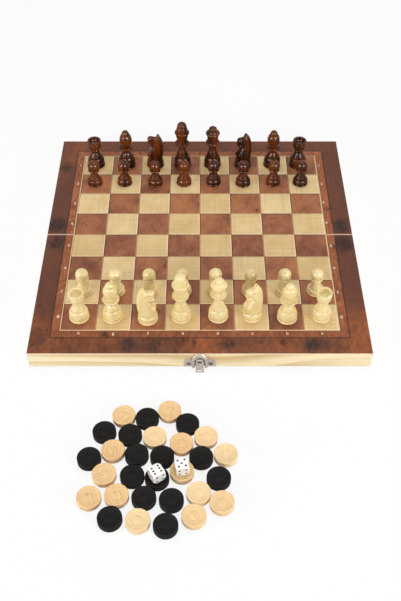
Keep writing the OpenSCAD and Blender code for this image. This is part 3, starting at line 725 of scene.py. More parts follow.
@dataclass(frozen=True)
class PointLining(Finish):
    """The tray's lining: a weave with six points along each short side."""

    name: str = "tray_lining"
    points: int = 6
    reach: float = 0.118
    first_y: float = 0.01025
    end_x: float = 0.1599
    length_y: float = 0.1497

    def dress(self, t: Tree, shader: bpy.types.Node, at: Socket) -> None:
        """Triangular points of two colours by turns, drawn by where a point lies.

        Args:
            t: the material's tree.
            shader: the Principled shader that the colours and values go to.
            at: the object's own coordinates.
        """
        x, y = PLAN.axes(t, at)
        step = self.length_y / self.points
        count = t.math("DIVIDE", t.math("SUBTRACT", t.math("ABSOLUTE", y), self.first_y), step)
        across = t.math("ABSOLUTE", t.math("MULTIPLY_ADD", t.math("FRACT", count), 2.0, -1.0))
        depth = t.math("DIVIDE", t.math("SUBTRACT", self.end_x, t.math("ABSOLUTE", x)), self.reach)
        inside = t.fade(t.math("ADD", across, depth), 1.0, 0.985)
        side = t.math("GREATER_THAN", x, 0.0)
        turn = t.math("MODULO", t.math("ADD", t.math("FLOOR", count), side), 2.0)
        weave = t.group(weave_group(), {"Vector": at, "Pitch": 0.0009})
        wood = t.noise(t.scaled(at, (0.12, 1.0, 1.0)), 120.0, 4.0, 0.6)
        ground = t.ramp(wood, [(0.3, rgb("#d8bd8c")), (0.7, rgb("#e8d3a6"))])
        red = t.ramp(wood, [(0.3, rgb("#8a4326")), (0.7, rgb("#a3562f"))])
        brown = t.ramp(wood, [(0.3, rgb("#3f251b")), (0.7, rgb("#583426"))])
        colour = t.mix(inside, ground, t.mix(turn, red, brown))
        outline = t.math("MULTIPLY", t.line(t.math("ADD", across, depth), 1.0, 0.012, 0.01), 0.7)
        colour = t.mix(outline, colour, rgb("#3a2419"))
        colour = t.mix(t.math("MULTIPLY", weave.outputs["Shade"], 0.18), colour, rgb("#6f5136"))
        t.feed(shader.inputs["Base Color"], colour)
        wear = t.group(wear_group(), {"Vector": at, "Roughness": 0.6, "Smudge": 0.08, "Scale": 30.0})
        t.feed(shader.inputs["Roughness"], wear.outputs["Roughness"])
        self.relief(t, shader, weave.outputs["Height"], 0.00003, 0.4)


@dataclass(frozen=True)
class Metal(Finish):
    """Plated or polished metal with fine scratches and darker patches."""

    name: str
    colour: str
    tarnish: str
    roughness: float = 0.3
    metallic: float = 1.0
    scratches: float = 0.5

    def dress(self, t: Tree, shader: bpy.types.Node, at: Socket) -> None:
        """Clean plate and tarnish by noise, with scratches in the relief.

        Args:
            t: the material's tree.
            shader: the Principled shader that the colours and values go to.
            at: the object's own coordinates.
        """
        patches = t.noise(at, 420.0, 4.0, 0.6)
        scratch = t.noise(t.scaled(at, (1.0, 1.0, 0.06)), 5200.0, 2.0, 0.6)
        mask = t.math("MULTIPLY", t.fade(patches, 0.5, 0.72), 0.6)
        t.feed(shader.inputs["Base Color"], t.mix(mask, rgb(self.colour), rgb(self.tarnish)))
        shader.inputs["Metallic"].default_value = self.metallic
        shader.inputs["Specular IOR Level"].default_value = 0.3
        wear = t.group(
            wear_group(), {"Vector": at, "Roughness": self.roughness, "Smudge": 0.15, "Scale": 300.0}
        )
        t.feed(shader.inputs["Roughness"], wear.outputs["Roughness"])
        height = t.math("ADD", scratch, t.math("MULTIPLY", wear.outputs["Height"], 0.4))
        self.relief(t, shader, height, 0.00002, self.scratches)


@dataclass(frozen=True)
class TurnedWood(Finish):
    """Lacquered wood of the turned men, with streaks along their height."""

    name: str
    light: str
    mid: str
    dark: str
    roughness: float
    coat: float
    coat_roughness: float
    lines: float
    gloss: float
    rings: float = 420.0

    def dress(self, t: Tree, shader: bpy.types.Node, at: Socket) -> None:
        """Growth lines along Z, cloudy stain and a coat of lacquer.

        Args:
            t: the material's tree.
            shader: the Principled shader that the colours and values go to.
            at: the object's own coordinates.
        """
        upright = t.scaled(at, (1.0, 1.0, 0.16))
        stain = t.noise(upright, 75.0, 3.0, 0.55, 0.6)
        fine = t.noise(t.scaled(at, (1.0, 1.0, 0.07)), 620.0, 4.0, 0.6)
        parts = t.add("ShaderNodeSeparateXYZ", {0: upright}).outputs
        lean = t.math("ADD", parts[0], t.math("MULTIPLY", parts[1], 0.35))
        turns = t.math("MULTIPLY_ADD", lean, self.rings, t.math("MULTIPLY", stain, 4.0))
        saw = t.math("FRACT", turns)
        late = t.math("MULTIPLY", t.fade(saw, 0.3, 0.9), t.fade(saw, 1.0, 0.92))
        colour = t.mix(t.fade(stain, 0.34, 0.66), rgb(self.mid), rgb(self.light))
        colour = t.mix(t.math("MULTIPLY", late, 0.6 * self.lines), colour, rgb(self.dark))
        colour = t.mix(t.math("MULTIPLY", t.fade(fine, 0.52, 0.7), 0.5 * self.lines), colour, rgb(self.dark))
        t.feed(shader.inputs["Base Color"], colour)
        wear = t.group(
            wear_group(), {"Vector": at, "Roughness": self.roughness, "Smudge": 0.1, "Scale": 220.0}
        )
        t.feed(shader.inputs["Roughness"], wear.outputs["Roughness"])
        shader.inputs["Coat Weight"].default_value = self.coat
        shader.inputs["Coat Roughness"].default_value = self.coat_roughness
        shader.inputs["Specular IOR Level"].default_value = self.gloss
        height = t.math("ADD", fine, t.math("MULTIPLY", wear.outputs["Height"], 0.2))
        self.relief(t, shader, height, 0.00003, 0.5)


@dataclass(frozen=True)
class DraughtWood(Finish):
    """A draught's wood: its tone and grain direction differ from one draught to the next."""

    name: str
    pale: str
    deep: str
    line: str
    roughness: float = 0.5
    knot: float = 0.0
    gloss: float = 0.4

    def dress(self, t: Tree, shader: bpy.types.Node, at: Socket) -> None:
        """Reads each draught's middle, turn and tone from its attributes.

        Args:
            t: the material's tree.
            shader: the Principled shader that the colours and values go to.
            at: the object's own coordinates.
        """
        middle = t.add("ShaderNodeAttribute", attribute_name="middle").outputs["Vector"]
        tone = t.add("ShaderNodeAttribute", attribute_name="tone").outputs["Fac"]
        local = t.add("ShaderNodeVectorMath", {0: at, 1: middle}, operation="SUBTRACT").outputs[0]
        turn = t.math("MULTIPLY", tone, 40.0)
        spun = t.add("ShaderNodeVectorRotate", {"Vector": local, "Angle": turn}).outputs[0]
        shift = t.add("ShaderNodeCombineXYZ", {0: tone, 1: t.math("MULTIPLY", tone, 3.0), 2: tone}).outputs[0]
        moved = t.add("ShaderNodeVectorMath", {0: spun, 1: shift}, operation="ADD").outputs[0]
        grain = t.group(
            grain_group(),
            {
                "Vector": moved, "Rings": 330.0, "Stretch": 0.12, "Waver": 3.0,
                "Light": rgb(self.pale), "Mid": rgb(self.deep), "Dark": rgb(self.line),
            },
        )
        deep = t.mix(t.fade(tone, 0.0, 1.0), rgb(self.pale), rgb(self.deep))
        colour = t.mix(0.6, grain.outputs["Color"], deep)
        if self.knot:
            away = t.add("ShaderNodeVectorMath", {0: spun, 1: (0.0025, 0.001, 0.007)}, operation="DISTANCE")
            dot = t.math("MULTIPLY", t.fade(away.outputs["Value"], 0.0016, 0.0006), t.fade(tone, 0.6, 0.62))
            colour = t.mix(t.math("MULTIPLY", dot, self.knot), colour, rgb(self.line))
        t.feed(shader.inputs["Base Color"], colour)
        wear = t.group(
            wear_group(), {"Vector": at, "Roughness": self.roughness, "Smudge": 0.1, "Scale": 150.0}
        )
        t.feed(shader.inputs["Roughness"], wear.outputs["Roughness"])
        shader.inputs["Specular IOR Level"].default_value = self.gloss
        height = t.math("ADD", grain.outputs["Height"], t.math("MULTIPLY", wear.outputs["Height"], 0.3))
        self.relief(t, shader, height, 0.00006, 0.5)


@dataclass(frozen=True)
class Plain(Finish):
    """Moulded or printed colour with a slight mottle."""

    name: str
    colour: str
    mottle: str
    roughness: float = 0.3
    coat: float = 0.0

    def dress(self, t: Tree, shader: bpy.types.Node, at: Socket) -> None:
        """A colour that drifts a little, and handling wear.

        Args:
            t: the material's tree.
            shader: the Principled shader that the colours and values go to.
            at: the object's own coordinates.
        """
        drift = t.noise(at, 380.0, 3.0)
        colour = t.mix(t.fade(drift, 0.35, 0.75), rgb(self.colour), rgb(self.mottle))
        t.feed(shader.inputs["Base Color"], colour)
        wear = t.group(
            wear_group(), {"Vector": at, "Roughness": self.roughness, "Smudge": 0.08, "Scale": 260.0}
        )
        t.feed(shader.inputs["Roughness"], wear.outputs["Roughness"])
        shader.inputs["Coat Weight"].default_value = self.coat
        self.relief(t, shader, wear.outputs["Height"], 0.00001, 0.4)


PINE = ("#e9d9b6", "#dfcba0", "#b8955c")
PINE_LONG = Wood("pine_along_x", *PINE, axis="X", rings=75.0, stretch=0.2, waver=2.6, offset=(0.08, 0, 0))
PINE_SIDE = Wood("pine_along_y", *PINE, axis="Y", rings=75.0, stretch=0.2, waver=2.6, offset=(0.3, 0.1, 0))
PANEL_WOOD = Wood("panel_edge", "#f2e3c0", "#e6d2a5", "#c6a56e", rings=500.0, stretch=0.03, waver=2.0)
BURL = BurlVeneer()
LIGHT_SQUARE = LightSquare()
LINING = PointLining()
HINGE_BRASS = Metal("hinge_brass", "#c9a45c", "#7a5a2c", 0.3)
SCREW_STEEL = Metal("screw_steel", "#5d564f", "#2c2723", 0.45, 0.8)
PIN_STEEL = Metal("pin_steel", "#6e6a64", "#3b3630", 0.4, 0.9)
CLASP_NICKEL = Metal("clasp_nickel", "#b3a89e", "#85796f", 0.42, 0.85)
HASP_NICKEL = Metal("hasp_nickel", "#b0a59c", "#82766c", 0.38, 0.85)
LIGHT_MAN = TurnedWood("light_man_wood", "#e8d49f", "#dfc789", "#c8a761", 0.38, 0.12, 0.12, 0.15, 0.3)
DARK_MAN = TurnedWood("dark_man_wood", "#71360c", "#301205", "#100402", 0.3, 0.22, 0.05, 0.7, 0.08)
NATURAL = DraughtWood("natural_draught_wood", "#f2d6a6", "#dfb47b", "#c99c66", 0.5, 0.85)
BLACK = DraughtWood("black_draught_wood", "#0f0d0b", "#0a0908", "#060504", 0.6, 0.0, 0.1)
DIE_WHITE = Plain("die_white", "#f4f1ea", "#e9e4d8", 0.25, 0.4)
PIP_BLACK = Plain("pip_black", "#15130f", "#0d0c0a", 0.35)
LABEL_WHITE = Plain("label_print", "#ece4dc", "#d9cfc6", 0.5)


# Meshes and geometry trees


def add_object(name: str, mesh: bpy.types.Mesh) -> bpy.types.Object:
    """Puts a mesh into the scene as an object at the origin.

    Args:
        name: the object's name.
        mesh: its mesh.

    Returns:
        The new object.
    """
    obj = bpy.data.objects.new(name, mesh)
    bpy.context.scene.collection.objects.link(obj)
    return obj


def from_lists(
    name: str, points: Iterable[Sequence[float]], edges: Sequence[tuple[int, int]] = (),
    faces: Sequence[Sequence[int]] = ()
) -> bpy.types.Object:
    """An object made of points in millimetres, with its edges or faces.

    Args:
        name: the object's name.
        points: corner points, in millimetres.
        edges: pairs of point numbers.
        faces: point numbers of each face.

    Returns:
        The new object.
    """
    mesh = bpy.data.meshes.new(name)
    mesh.from_pydata([[c * MM for c in p] for p in points], list(edges), list(faces))
    return add_object(name, mesh)


def drop(obj: bpy.types.Object) -> None:
    """Removes an object and its data.

    Args:
        obj: the object to remove.
    """
    data = obj.data
    bpy.data.objects.remove(obj)
    if isinstance(data, bpy.types.Mesh) and not data.users:
        bpy.data.meshes.remove(data)


def plain(obj: bpy.types.Object, name: str) -> bpy.types.Object:
    """The object with its modifiers and curves turned into a plain mesh.

    Args:
        obj: the object to evaluate, which is removed.
        name: the new object's name.

    Returns:
        The object with the plain mesh, its faces pointing outwards.
    """
    graph = bpy.context.evaluated_depsgraph_get()
    mesh = bpy.data.meshes.new_from_object(
        obj.evaluated_get(graph), preserve_all_data_layers=True, depsgraph=graph
    )
    drop(obj)
    mesh.name = name
    work = bmesh.new()
    work.from_mesh(mesh)
    bmesh.ops.remove_doubles(work, verts=work.verts, dist=1e-6)
    bmesh.ops.recalc_face_normals(work, faces=work.faces)
    work.to_mesh(mesh)
    work.free()
    return add_object(name, mesh)


def merged_copy(node: str, name: str) -> bpy.types.Object:
    """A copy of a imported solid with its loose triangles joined.

    Args:
        node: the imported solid.
        name: the copy's name.

    Returns:
        The closed copy.
    """
    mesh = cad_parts[node].data.copy()
    work = bmesh.new()
    work.from_mesh(mesh)
    bmesh.ops.remove_doubles(work, verts=work.verts, dist=2e-6)
    bmesh.ops.dissolve_limit(work, angle_limit=math.radians(0.5), verts=work.verts, edges=work.edges)
    work.to_mesh(mesh)
    work.free()
    mesh.name = name
    return add_object(name, mesh)


def eased(obj: bpy.types.Object, width: float, steps: int = 2, angle: float = 30.0) -> bpy.types.Object:
    """The object with its sharp edges rounded by a width in metres.

    Args:
        obj: the piece.
        width: the rounding's width.
        steps: its segments.
        angle: edges sharper than this many degrees are rounded.

    Returns:
        The piece as a plain mesh.
    """
    bevel = obj.modifiers.new("ease", "BEVEL")
    bevel.width = width
    bevel.segments = steps
    bevel.limit_method = "ANGLE"
    bevel.angle_limit = math.radians(angle)
    bevel.harden_normals = False
    name = obj.name
    obj.name = f"{name}_raw"
    done = plain(obj, name)
    done.data.shade_smooth()
    done.data.set_sharp_from_angle(angle=math.radians(35))
    return done


def islands(node: str) -> list[tuple[Vector, Vector]]:
    """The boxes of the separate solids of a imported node.

    Args:
        node: the node's name.

    Returns:
        The lowest and highest corner of each solid, in metres.
    """
    work = bmesh.new()
    work.from_mesh(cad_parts[node].data)
    bmesh.ops.remove_doubles(work, verts=work.verts, dist=2e-6)
    left = set(work.verts)
    boxes = []
    while left:
        stack = [left.pop()]
        low, high = stack[0].co.copy(), stack[0].co.copy()
        while stack:
            vert = stack.pop()
            low = Vector(map(min, low, vert.co))
            high = Vector(map(max, high, vert.co))
            for edge in vert.link_edges:
                other = edge.other_vert(vert)
                if other in left:
                    left.remove(other)
                    stack.append(other)
        boxes.append((low, high))
    work.free()
    return sorted(boxes, key=lambda b: (round(b[0].x, 5), round(b[0].y, 5)))


class GeometryTree(Tree):
    """A geometry node tree with named inputs, for one modifier."""

    KINDS = {
        float: "NodeSocketFloat", int: "NodeSocketInt", Vector: "NodeSocketVector",
        bpy.types.Object: "NodeSocketObject", bpy.types.Material: "NodeSocketMaterial",
    }

    def __init__(self, name: str, inputs: dict[str, type]) -> None:
        """Starts the tree.

        Args:
            name: the tree's name.
            inputs: each input's name and its kind.
        """
        tree = bpy.data.node_groups.new(name, "GeometryNodeTree")
        super().__init__(tree)
        tree.interface.new_socket("Geometry", in_out="INPUT", socket_type="NodeSocketGeometry")
        for key, kind in inputs.items():
            tree.interface.new_socket(key, in_out="INPUT", socket_type=self.KINDS[kind])
        tree.interface.new_socket("Geometry", in_out="OUTPUT", socket_type="NodeSocketGeometry")
        self.given = tree.nodes.new("NodeGroupInput").outputs
        self.out = tree.nodes.new("NodeGroupOutput").inputs[0]

    def close(self, geometry: Socket) -> None:
        """Ends the tree in Realize Instances and Set Material.

        Args:
            geometry: the geometry so far.
        """
        real = self.add("GeometryNodeRealizeInstances", {0: geometry}).outputs[0]
        done = self.add("GeometryNodeSetMaterial", {"Geometry": real, "Material": self.given["Finish"]})
        self.feed(self.out, done.outputs[0])

    def run(self, obj: bpy.types.Object, name: str, values: dict[str, Any]) -> bpy.types.Object:
        """Runs the tree on an object.

        Args:
            obj: the object whose mesh the tree starts from, which is used up.
            name: the name of the result.
            values: the inputs' values, by name.

        Returns:
            The object with the plain mesh.
        """
        modifier = obj.modifiers.new(self.tree.name, "NODES")
        modifier.node_group = self.tree
        for item in self.tree.interface.items_tree:
            if item.item_type == "SOCKET" and item.in_out == "INPUT" and item.name in values:
                modifier[item.identifier] = values[item.name]
        return plain(obj, name)


@lru_cache(maxsize=None)
def lathe_tree() -> GeometryTree:
    """Turns a profile of radius and height about its axis, and puts it in its place.

    Returns:
        The tree, with inputs for the segments, the place and the finish.
    """
    t = GeometryTree("turned_on_a_lathe", {"Segments": int, "Place": Vector, "Finish": bpy.types.Material})
    profile = t.given["Geometry"]
    count = t.add("GeometryNodeAttributeDomainSize", {0: profile}, component="MESH").outputs["Point Count"]
    around = t.math("ADD", t.given["Segments"], 1.0)
    grid = t.add("GeometryNodeMeshGrid", {"Vertices X": count, "Vertices Y": around}).outputs[0]
    index = t.add("GeometryNodeInputIndex").outputs[0]
    row = t.math("FLOOR", t.math("DIVIDE", t.math("ADD", index, 0.5), around))
    column = t.math("SUBTRACT", index, t.math("MULTIPLY", row, around))
    point = t.add("GeometryNodeSampleIndex", data_type="FLOAT_VECTOR", domain="POINT")
    t.feed(point.inputs["Geometry"], profile)
    t.feed(point.inputs["Value"], t.add("GeometryNodeInputPosition").outputs[0])
    t.feed(point.inputs["Index"], row)
    parts = t.add("ShaderNodeSeparateXYZ", {0: point.outputs["Value"]}).outputs
    angle = t.math("DIVIDE", t.math("MULTIPLY", column, math.tau), t.given["Segments"])
    x = t.math("MULTIPLY", parts[0], t.math("COSINE", angle))
    y = t.math("MULTIPLY", parts[0], t.math("SINE", angle))
    spot = t.add("ShaderNodeCombineXYZ", {0: x, 1: y, 2: parts[2]}).outputs[0]
    shaped = t.add("GeometryNodeSetPosition", {"Geometry": grid, "Position": spot}).outputs[0]
    closed = t.add("GeometryNodeMergeByDistance", {"Geometry": shaped, "Distance": 2e-6}).outputs[0]
    smooth = t.add("GeometryNodeSetShadeSmooth", {"Geometry": closed}).outputs[0]
    moved = t.add("GeometryNodeTransform", {"Geometry": smooth, "Translation": t.given["Place"]})
    t.close(moved.outputs[0])
    return t


@lru_cache(maxsize=None)
def copies_tree() -> GeometryTree:
    """Puts copies of a piece on points, each with its own tone and middle.

    Returns:
        The tree, with inputs for the piece, its turn, the seed and the finish.
    """
    kinds = {"Piece": bpy.types.Object, "Turn": Vector, "Seed": int, "Finish": bpy.types.Material}
    t = GeometryTree("copies_on_points", kinds)
    piece = t.add("GeometryNodeObjectInfo", {"Object": t.given["Piece"]}).outputs["Geometry"]
    index = t.add("GeometryNodeInputIndex").outputs[0]
    spin = t.add("FunctionNodeRandomValue", {"Seed": t.given["Seed"], "ID": index}, data_type="FLOAT")
    own = t.add("GeometryNodeInputNamedAttribute", {"Name": "spin"}, data_type="FLOAT").outputs[0]
    angle = t.add("ShaderNodeCombineXYZ", {2: own}).outputs[0]
    turn = t.add("FunctionNodeRotateEuler", {"Rotation": angle, "Rotate By": t.given["Turn"]}).outputs[0]
    placed = t.add(
        "GeometryNodeInstanceOnPoints",
        {"Points": t.given["Geometry"], "Instance": piece, "Rotation": turn},
    ).outputs[0]
    toned = t.add(
        "GeometryNodeStoreNamedAttribute",
        {"Geometry": placed, "Name": "tone", "Value": spin.outputs[1]},
        data_type="FLOAT", domain="INSTANCE",
    ).outputs[0]
    middle = t.add(
        "GeometryNodeStoreNamedAttribute",
        {"Geometry": toned, "Name": "middle"}, data_type="FLOAT_VECTOR", domain="INSTANCE",
    )
    t.feed(middle.inputs["Value"], t.add("GeometryNodeInputPosition").outputs[0])
    t.close(middle.outputs[0])
    return t


def give(obj: bpy.types.Object, body: str, slot: str, *nodes: str) -> None:
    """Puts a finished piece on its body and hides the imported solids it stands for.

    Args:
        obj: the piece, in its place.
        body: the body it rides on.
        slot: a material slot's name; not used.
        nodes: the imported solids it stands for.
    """
    if nodes:
        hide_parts(*nodes)
    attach(obj, body)
    LOG.info("%s rides on %s, %d faces", obj.name, body, len(obj.data.polygons))


def dress_solid(node: str, finish: Finish) -> None:
    """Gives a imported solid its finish.

    Args:
        node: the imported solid.
        finish: its finish.
    """
    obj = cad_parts[node]
    for slot in obj.material_slots:
        slot.material = finish.material()
    if not obj.material_slots:
        obj.data.materials.append(finish.material())


def painted(obj: bpy.types.Object, finish: Finish) -> bpy.types.Object:
    """The object with one finish all over.

    Args:
        obj: the piece.
        finish: its finish.

    Returns:
        The same piece.
    """
    obj.data.materials.clear()
    obj.data.materials.append(finish.material())
    return obj


# Profiles of turned pieces, in millimetres


def arc(x: float, z: float, r: float, start: float, end: float, steps: int = 8) -> list[Point]:
    """Points of an arc between two angles in degrees."""
    return oval(x, z, r, r, start, end, steps)


def oval(
    x: float, z: float, rx: float, rz: float, start: float, end: float, steps: int = 12
) -> list[Point]:
    """Points of an ellipse's stretch between two angles in degrees."""
    angles = [math.radians(start + (end - start) * i / steps) for i in range(steps + 1)]
    return [(x + rx * math.cos(a), z + rz * math.sin(a)) for a in angles]


def ring(r: float, z: float, half: float, steps: int = 10) -> list[Point]:
    """Points of a disc's rounded rim."""
    return arc(r - half, z, half, -90, 90, steps)


def waist(r1: float, z1: float, r2: float, z2: float, power: float, steps: int = 14) -> list[Point]:
    """Points of a curve that narrows as it rises; a power below 1 makes it bulge like a bell."""
    return [
        (r2 + (r1 - r2) * (1 - i / steps) ** power, z1 + (z2 - z1) * i / steps) for i in range(1, steps + 1)
    ]


@dataclass(frozen=True)
class MenSizes:
    """The sizes that all chessmen share, in millimetres."""

    man_r: float = 10.3
    pawn_r: float = 8.9
    foot_h: float = 2.2
    bulge_r: float = 4.6
    pawn_bulge_r: float = 3.5
    tall_bulge_h: float = 9.2
    ledge: float = 0.4
    bowl_h: float = 3.0
    neck_r: float = 4.3
    collar_r: float = 8.6
    collar_rim: float = 1.1
    crown_rim: float = 1.4

    def stand(
        self, r: float, neck_r: float, neck_z: float, bulge_r: float, bulge_h: float, power: float
    ) -> list[Point]:
        """Foot disc, bulge, a ring groove over it and a bell, up to a neck.

        Args:
            r: the foot's radius.
            neck_r: the neck's radius.
            neck_z: the neck's height.
            bulge_r: the bulge's radius.
            bulge_h: how high the bulge rises over its widest place.
            power: how much the bell bulges; less than 1 is rounder.

        Returns:
            The profile's points from the middle of the underside up.
        """
        half = self.foot_h / 2
        x = r - self.ledge - bulge_r
        z = self.foot_h + bulge_r * math.sin(math.radians(50))
        top = arc(x, z, bulge_r, -50, 0, 6) + oval(x, z, bulge_r, bulge_h, 6, 60, 9)
        end_x, end_z = top[-1]
        return (
            [(0, 0), (r - half - 1, 0), (r - half, 0)]
            + arc(r - half, half, half, -80, 70, 9)
            + top
            + [(end_x - 0.35, end_z + 0.15), (end_x - 1.0, end_z + 0.25), (end_x - 1.0, end_z + 0.55)]
            + [(end_x - 0.3, end_z + 0.85)]
            + waist(end_x - 0.2, end_z + 1.0, neck_r, neck_z, power)
        )

    def tall_stand(self, neck_z: float) -> list[Point]:
        """The stand of the king, the queen and the bishops."""
        return self.stand(self.man_r, self.neck_r, neck_z, self.bulge_r, self.tall_bulge_h, 0.8)

    def bowl(self, neck_r: float, r: float, z: float, rim: float) -> list[Point]:
        """A collar: a shallow bowl that ends in a rounded rim.

        Args:
            neck_r: the neck's radius below it.
            r: the rim's radius.
            z: the rim's middle height.
            rim: half the rim's thickness.

        Returns:
            The profile's points from the neck up to the rim's top.
        """
        return oval(neck_r, z - rim, r - rim - neck_r, self.bowl_h, -84, -6, 9) + ring(r, z, rim)


SIZES = MenSizes()


def pawn_profile(height: float = 32.2, head_r: float = 6.6) -> list[Point]:
    """A pawn: a ball on a thick collar.

    Args:
        height: the pawn's height.
        head_r: the ball's radius.

    Returns:
        The outline from the foot to the top.
    """
    head_z = height - head_r
    collar, rim, neck = head_z - 5.4, 1.2, 3.4
    return (
        SIZES.stand(SIZES.pawn_r, neck, collar - 3.6, SIZES.pawn_bulge_r, SIZES.pawn_bulge_r, 1.15)
        + oval(neck, collar - rim, head_r - rim - neck, 1.8, -84, -6, 7)
        + ring(head_r, collar, rim)
        + [(head_r * 0.8, collar + rim - 0.05), (head_r * 0.76, collar + rim + 0.1)]
        + arc(0, head_z, head_r, -34, 90, 22)
    )


def rook_profile(height: float = 36.0, cup_r: float = 7.9, recess: float = 4.2) -> list[Point]:
    """A rook: a plain cup with a hollow top over a small ring.

    Args:
        height: the rook's height.
        cup_r: the cup's radius.
        recess: the depth of the hollow.

    Returns:
        The outline from the foot into the hollow.
    """
    cup = height - 10.5
    throat, lip, wall = 4.4, 0.5, 1.9
    bulge_h, power = 8.0, 0.9
    wall_r = cup_r - lip
    floor = height - recess
    return (
        SIZES.stand(SIZES.man_r, throat, cup - 6, SIZES.bulge_r, bulge_h, power)
        + [(throat, cup - 3.4)]
        + ring(throat + 1.2, cup - 2.4, 0.8)
        + [(throat + 0.1, cup - 1.5)]
        + oval(throat, cup + 3.2, wall_r - throat, 4.7, -88, 0, 10)
        + [(wall_r, height - 3.4), (wall_r - 0.25, height - 3.15)]
        + [(wall_r, height - 2.9), (cup_r, height - 2.5)]
        + arc(wall_r, height - lip, lip, 0, 90, 5)
        + [(cup_r - wall + 0.25, height), (cup_r - wall, height - 0.25)]
        + [(cup_r - 1.1 * wall, height - 1.6), (cup_r - 1.6 * wall, floor + 0.3), (4.0, floor - 0.6)]
        + [(2.4, floor - 1.2), (1.2, floor - 1.5), (0, floor - 1.6)]
    )


def bishop_profile(height: float = 50.0, head_r: float = 7.3) -> list[Point]:
    """A bishop: an acorn head on a saucer collar.

    Args:
        height: the bishop's height.
        head_r: the acorn's radius.

    Returns:
        The outline from the foot to the top.
    """
    collar, head_z, rim = height * 0.535, height - 12.6, SIZES.collar_rim
    cap_z = head_z + 7.0
    return (
        SIZES.tall_stand(collar - 6.5)
        + SIZES.bowl(SIZES.neck_r, SIZES.collar_r, collar, rim)
        + [(5.9, collar + 1.15 * rim), (4.8, collar + 1.9)]
        + oval(0, head_z, head_r, 9.4, -60, 46, 22)
        + [(4.55, cap_z + 0.1)]
        + oval(0, cap_z, 4.65, height - cap_z, 4, 90, 12)
    )


def queen_profile(height: float = 56.5, crown_r: float = 8.3) -> list[Point]:
    """A queen: a saucer crown with a low dome and a flattened ball.

    Args:
        height: the queen's height.
        crown_r: the crown's radius.

    Returns:
        The outline from the foot to the top.
    """
    collar, crown, rim = height * 0.6, height - 10.0, SIZES.crown_rim
    ball_r, ball_h = 4.7, 2.7
    return (
        SIZES.tall_stand(collar - 11)
        + SIZES.bowl(SIZES.neck_r, SIZES.collar_r - 0.4, collar, SIZES.collar_rim)
        + [(6.6, collar + 1.15 * SIZES.collar_rim), (5.6, collar + 1.9), (5.5, collar + 2.8)]
        + oval(5.3, crown - rim, crown_r - rim - 5.3, 7.0, -76, 0, 10)
        + ring(crown_r, crown, rim)
        + [(6.9, crown + rim - 0.1)]
        + oval(0, crown + rim - 0.2, 6.6, 4.2, 4, 50, 10)
        + oval(0, height - 1.3 - ball_h, ball_r, ball_h, 4, 90, 12)
    )


def king_profile(height: float = 61.0, crown_r: float = 8.6) -> list[Point]:
    """A king: a crown rim with a drum, a groove and a rounded cap.

    Args:
        height: the king's height.
        crown_r: the crown's radius.

    Returns:
        The outline from the foot to the top.
    """
    collar, crown, rim = height * 0.53, height - 13.5, SIZES.crown_rim
    dome = crown + rim - 0.1
    cap_z = dome + 6.3
    return (
        SIZES.tall_stand(collar - 9.5)
        + SIZES.bowl(SIZES.neck_r, SIZES.collar_r, collar, SIZES.collar_rim)
        + [(6.7, collar + 1.15 * SIZES.collar_rim), (5.7, collar + 1.9), (5.6, collar + 5.2)]
        + oval(5.5, crown - rim, crown_r - rim - 5.5, 7.0, -76, 0, 10)
        + ring(crown_r, crown, rim)
        + [(6.9, crown + rim - 0.05)]
        + bell(6.9, dome, 9.0, 2, 44, 10)
        + [(5.1, cap_z - 0.3), (5.0, cap_z - 0.1)]
        + bell(5.7, cap_z, height - cap_z, 2, 90, 14)
    )


def bell(r: float, z: float, tall: float, start: float, end: float, steps: int) -> list[Point]:
    """Points of a steep-sided dome between two angles in degrees."""
    angles = [math.radians(start + (end - start) * i / steps) for i in range(steps + 1)]
    return [(r * max(0.0, math.cos(a)) ** 0.72, z + tall * math.sin(a) ** 0.86) for a in angles]


def turned_piece(
    name: str, profile: Sequence[Point], place: Vector, finish: Finish, around: int = 72
) -> bpy.types.Object:
    """A piece turned from a profile.

    Args:
        name: the piece's name.
        profile: radius and height, in millimetres, from the bottom up.
        place: where the profile's origin stands, in metres.
        finish: its finish.
        around: the number of segments.

    Returns:
        The piece as a plain mesh.
    """
    line = from_lists(
        f"{name}_profile", [(r, 0, z) for r, z in profile], [(i, i + 1) for i in range(len(profile) - 1)]
    )
    values = {"Segments": around, "Place": tuple(place), "Finish": finish.material()}
    piece = lathe_tree().run(line, name, values)
    piece.data.set_sharp_from_angle(angle=math.radians(48))
    return piece


# The sub-assemblies


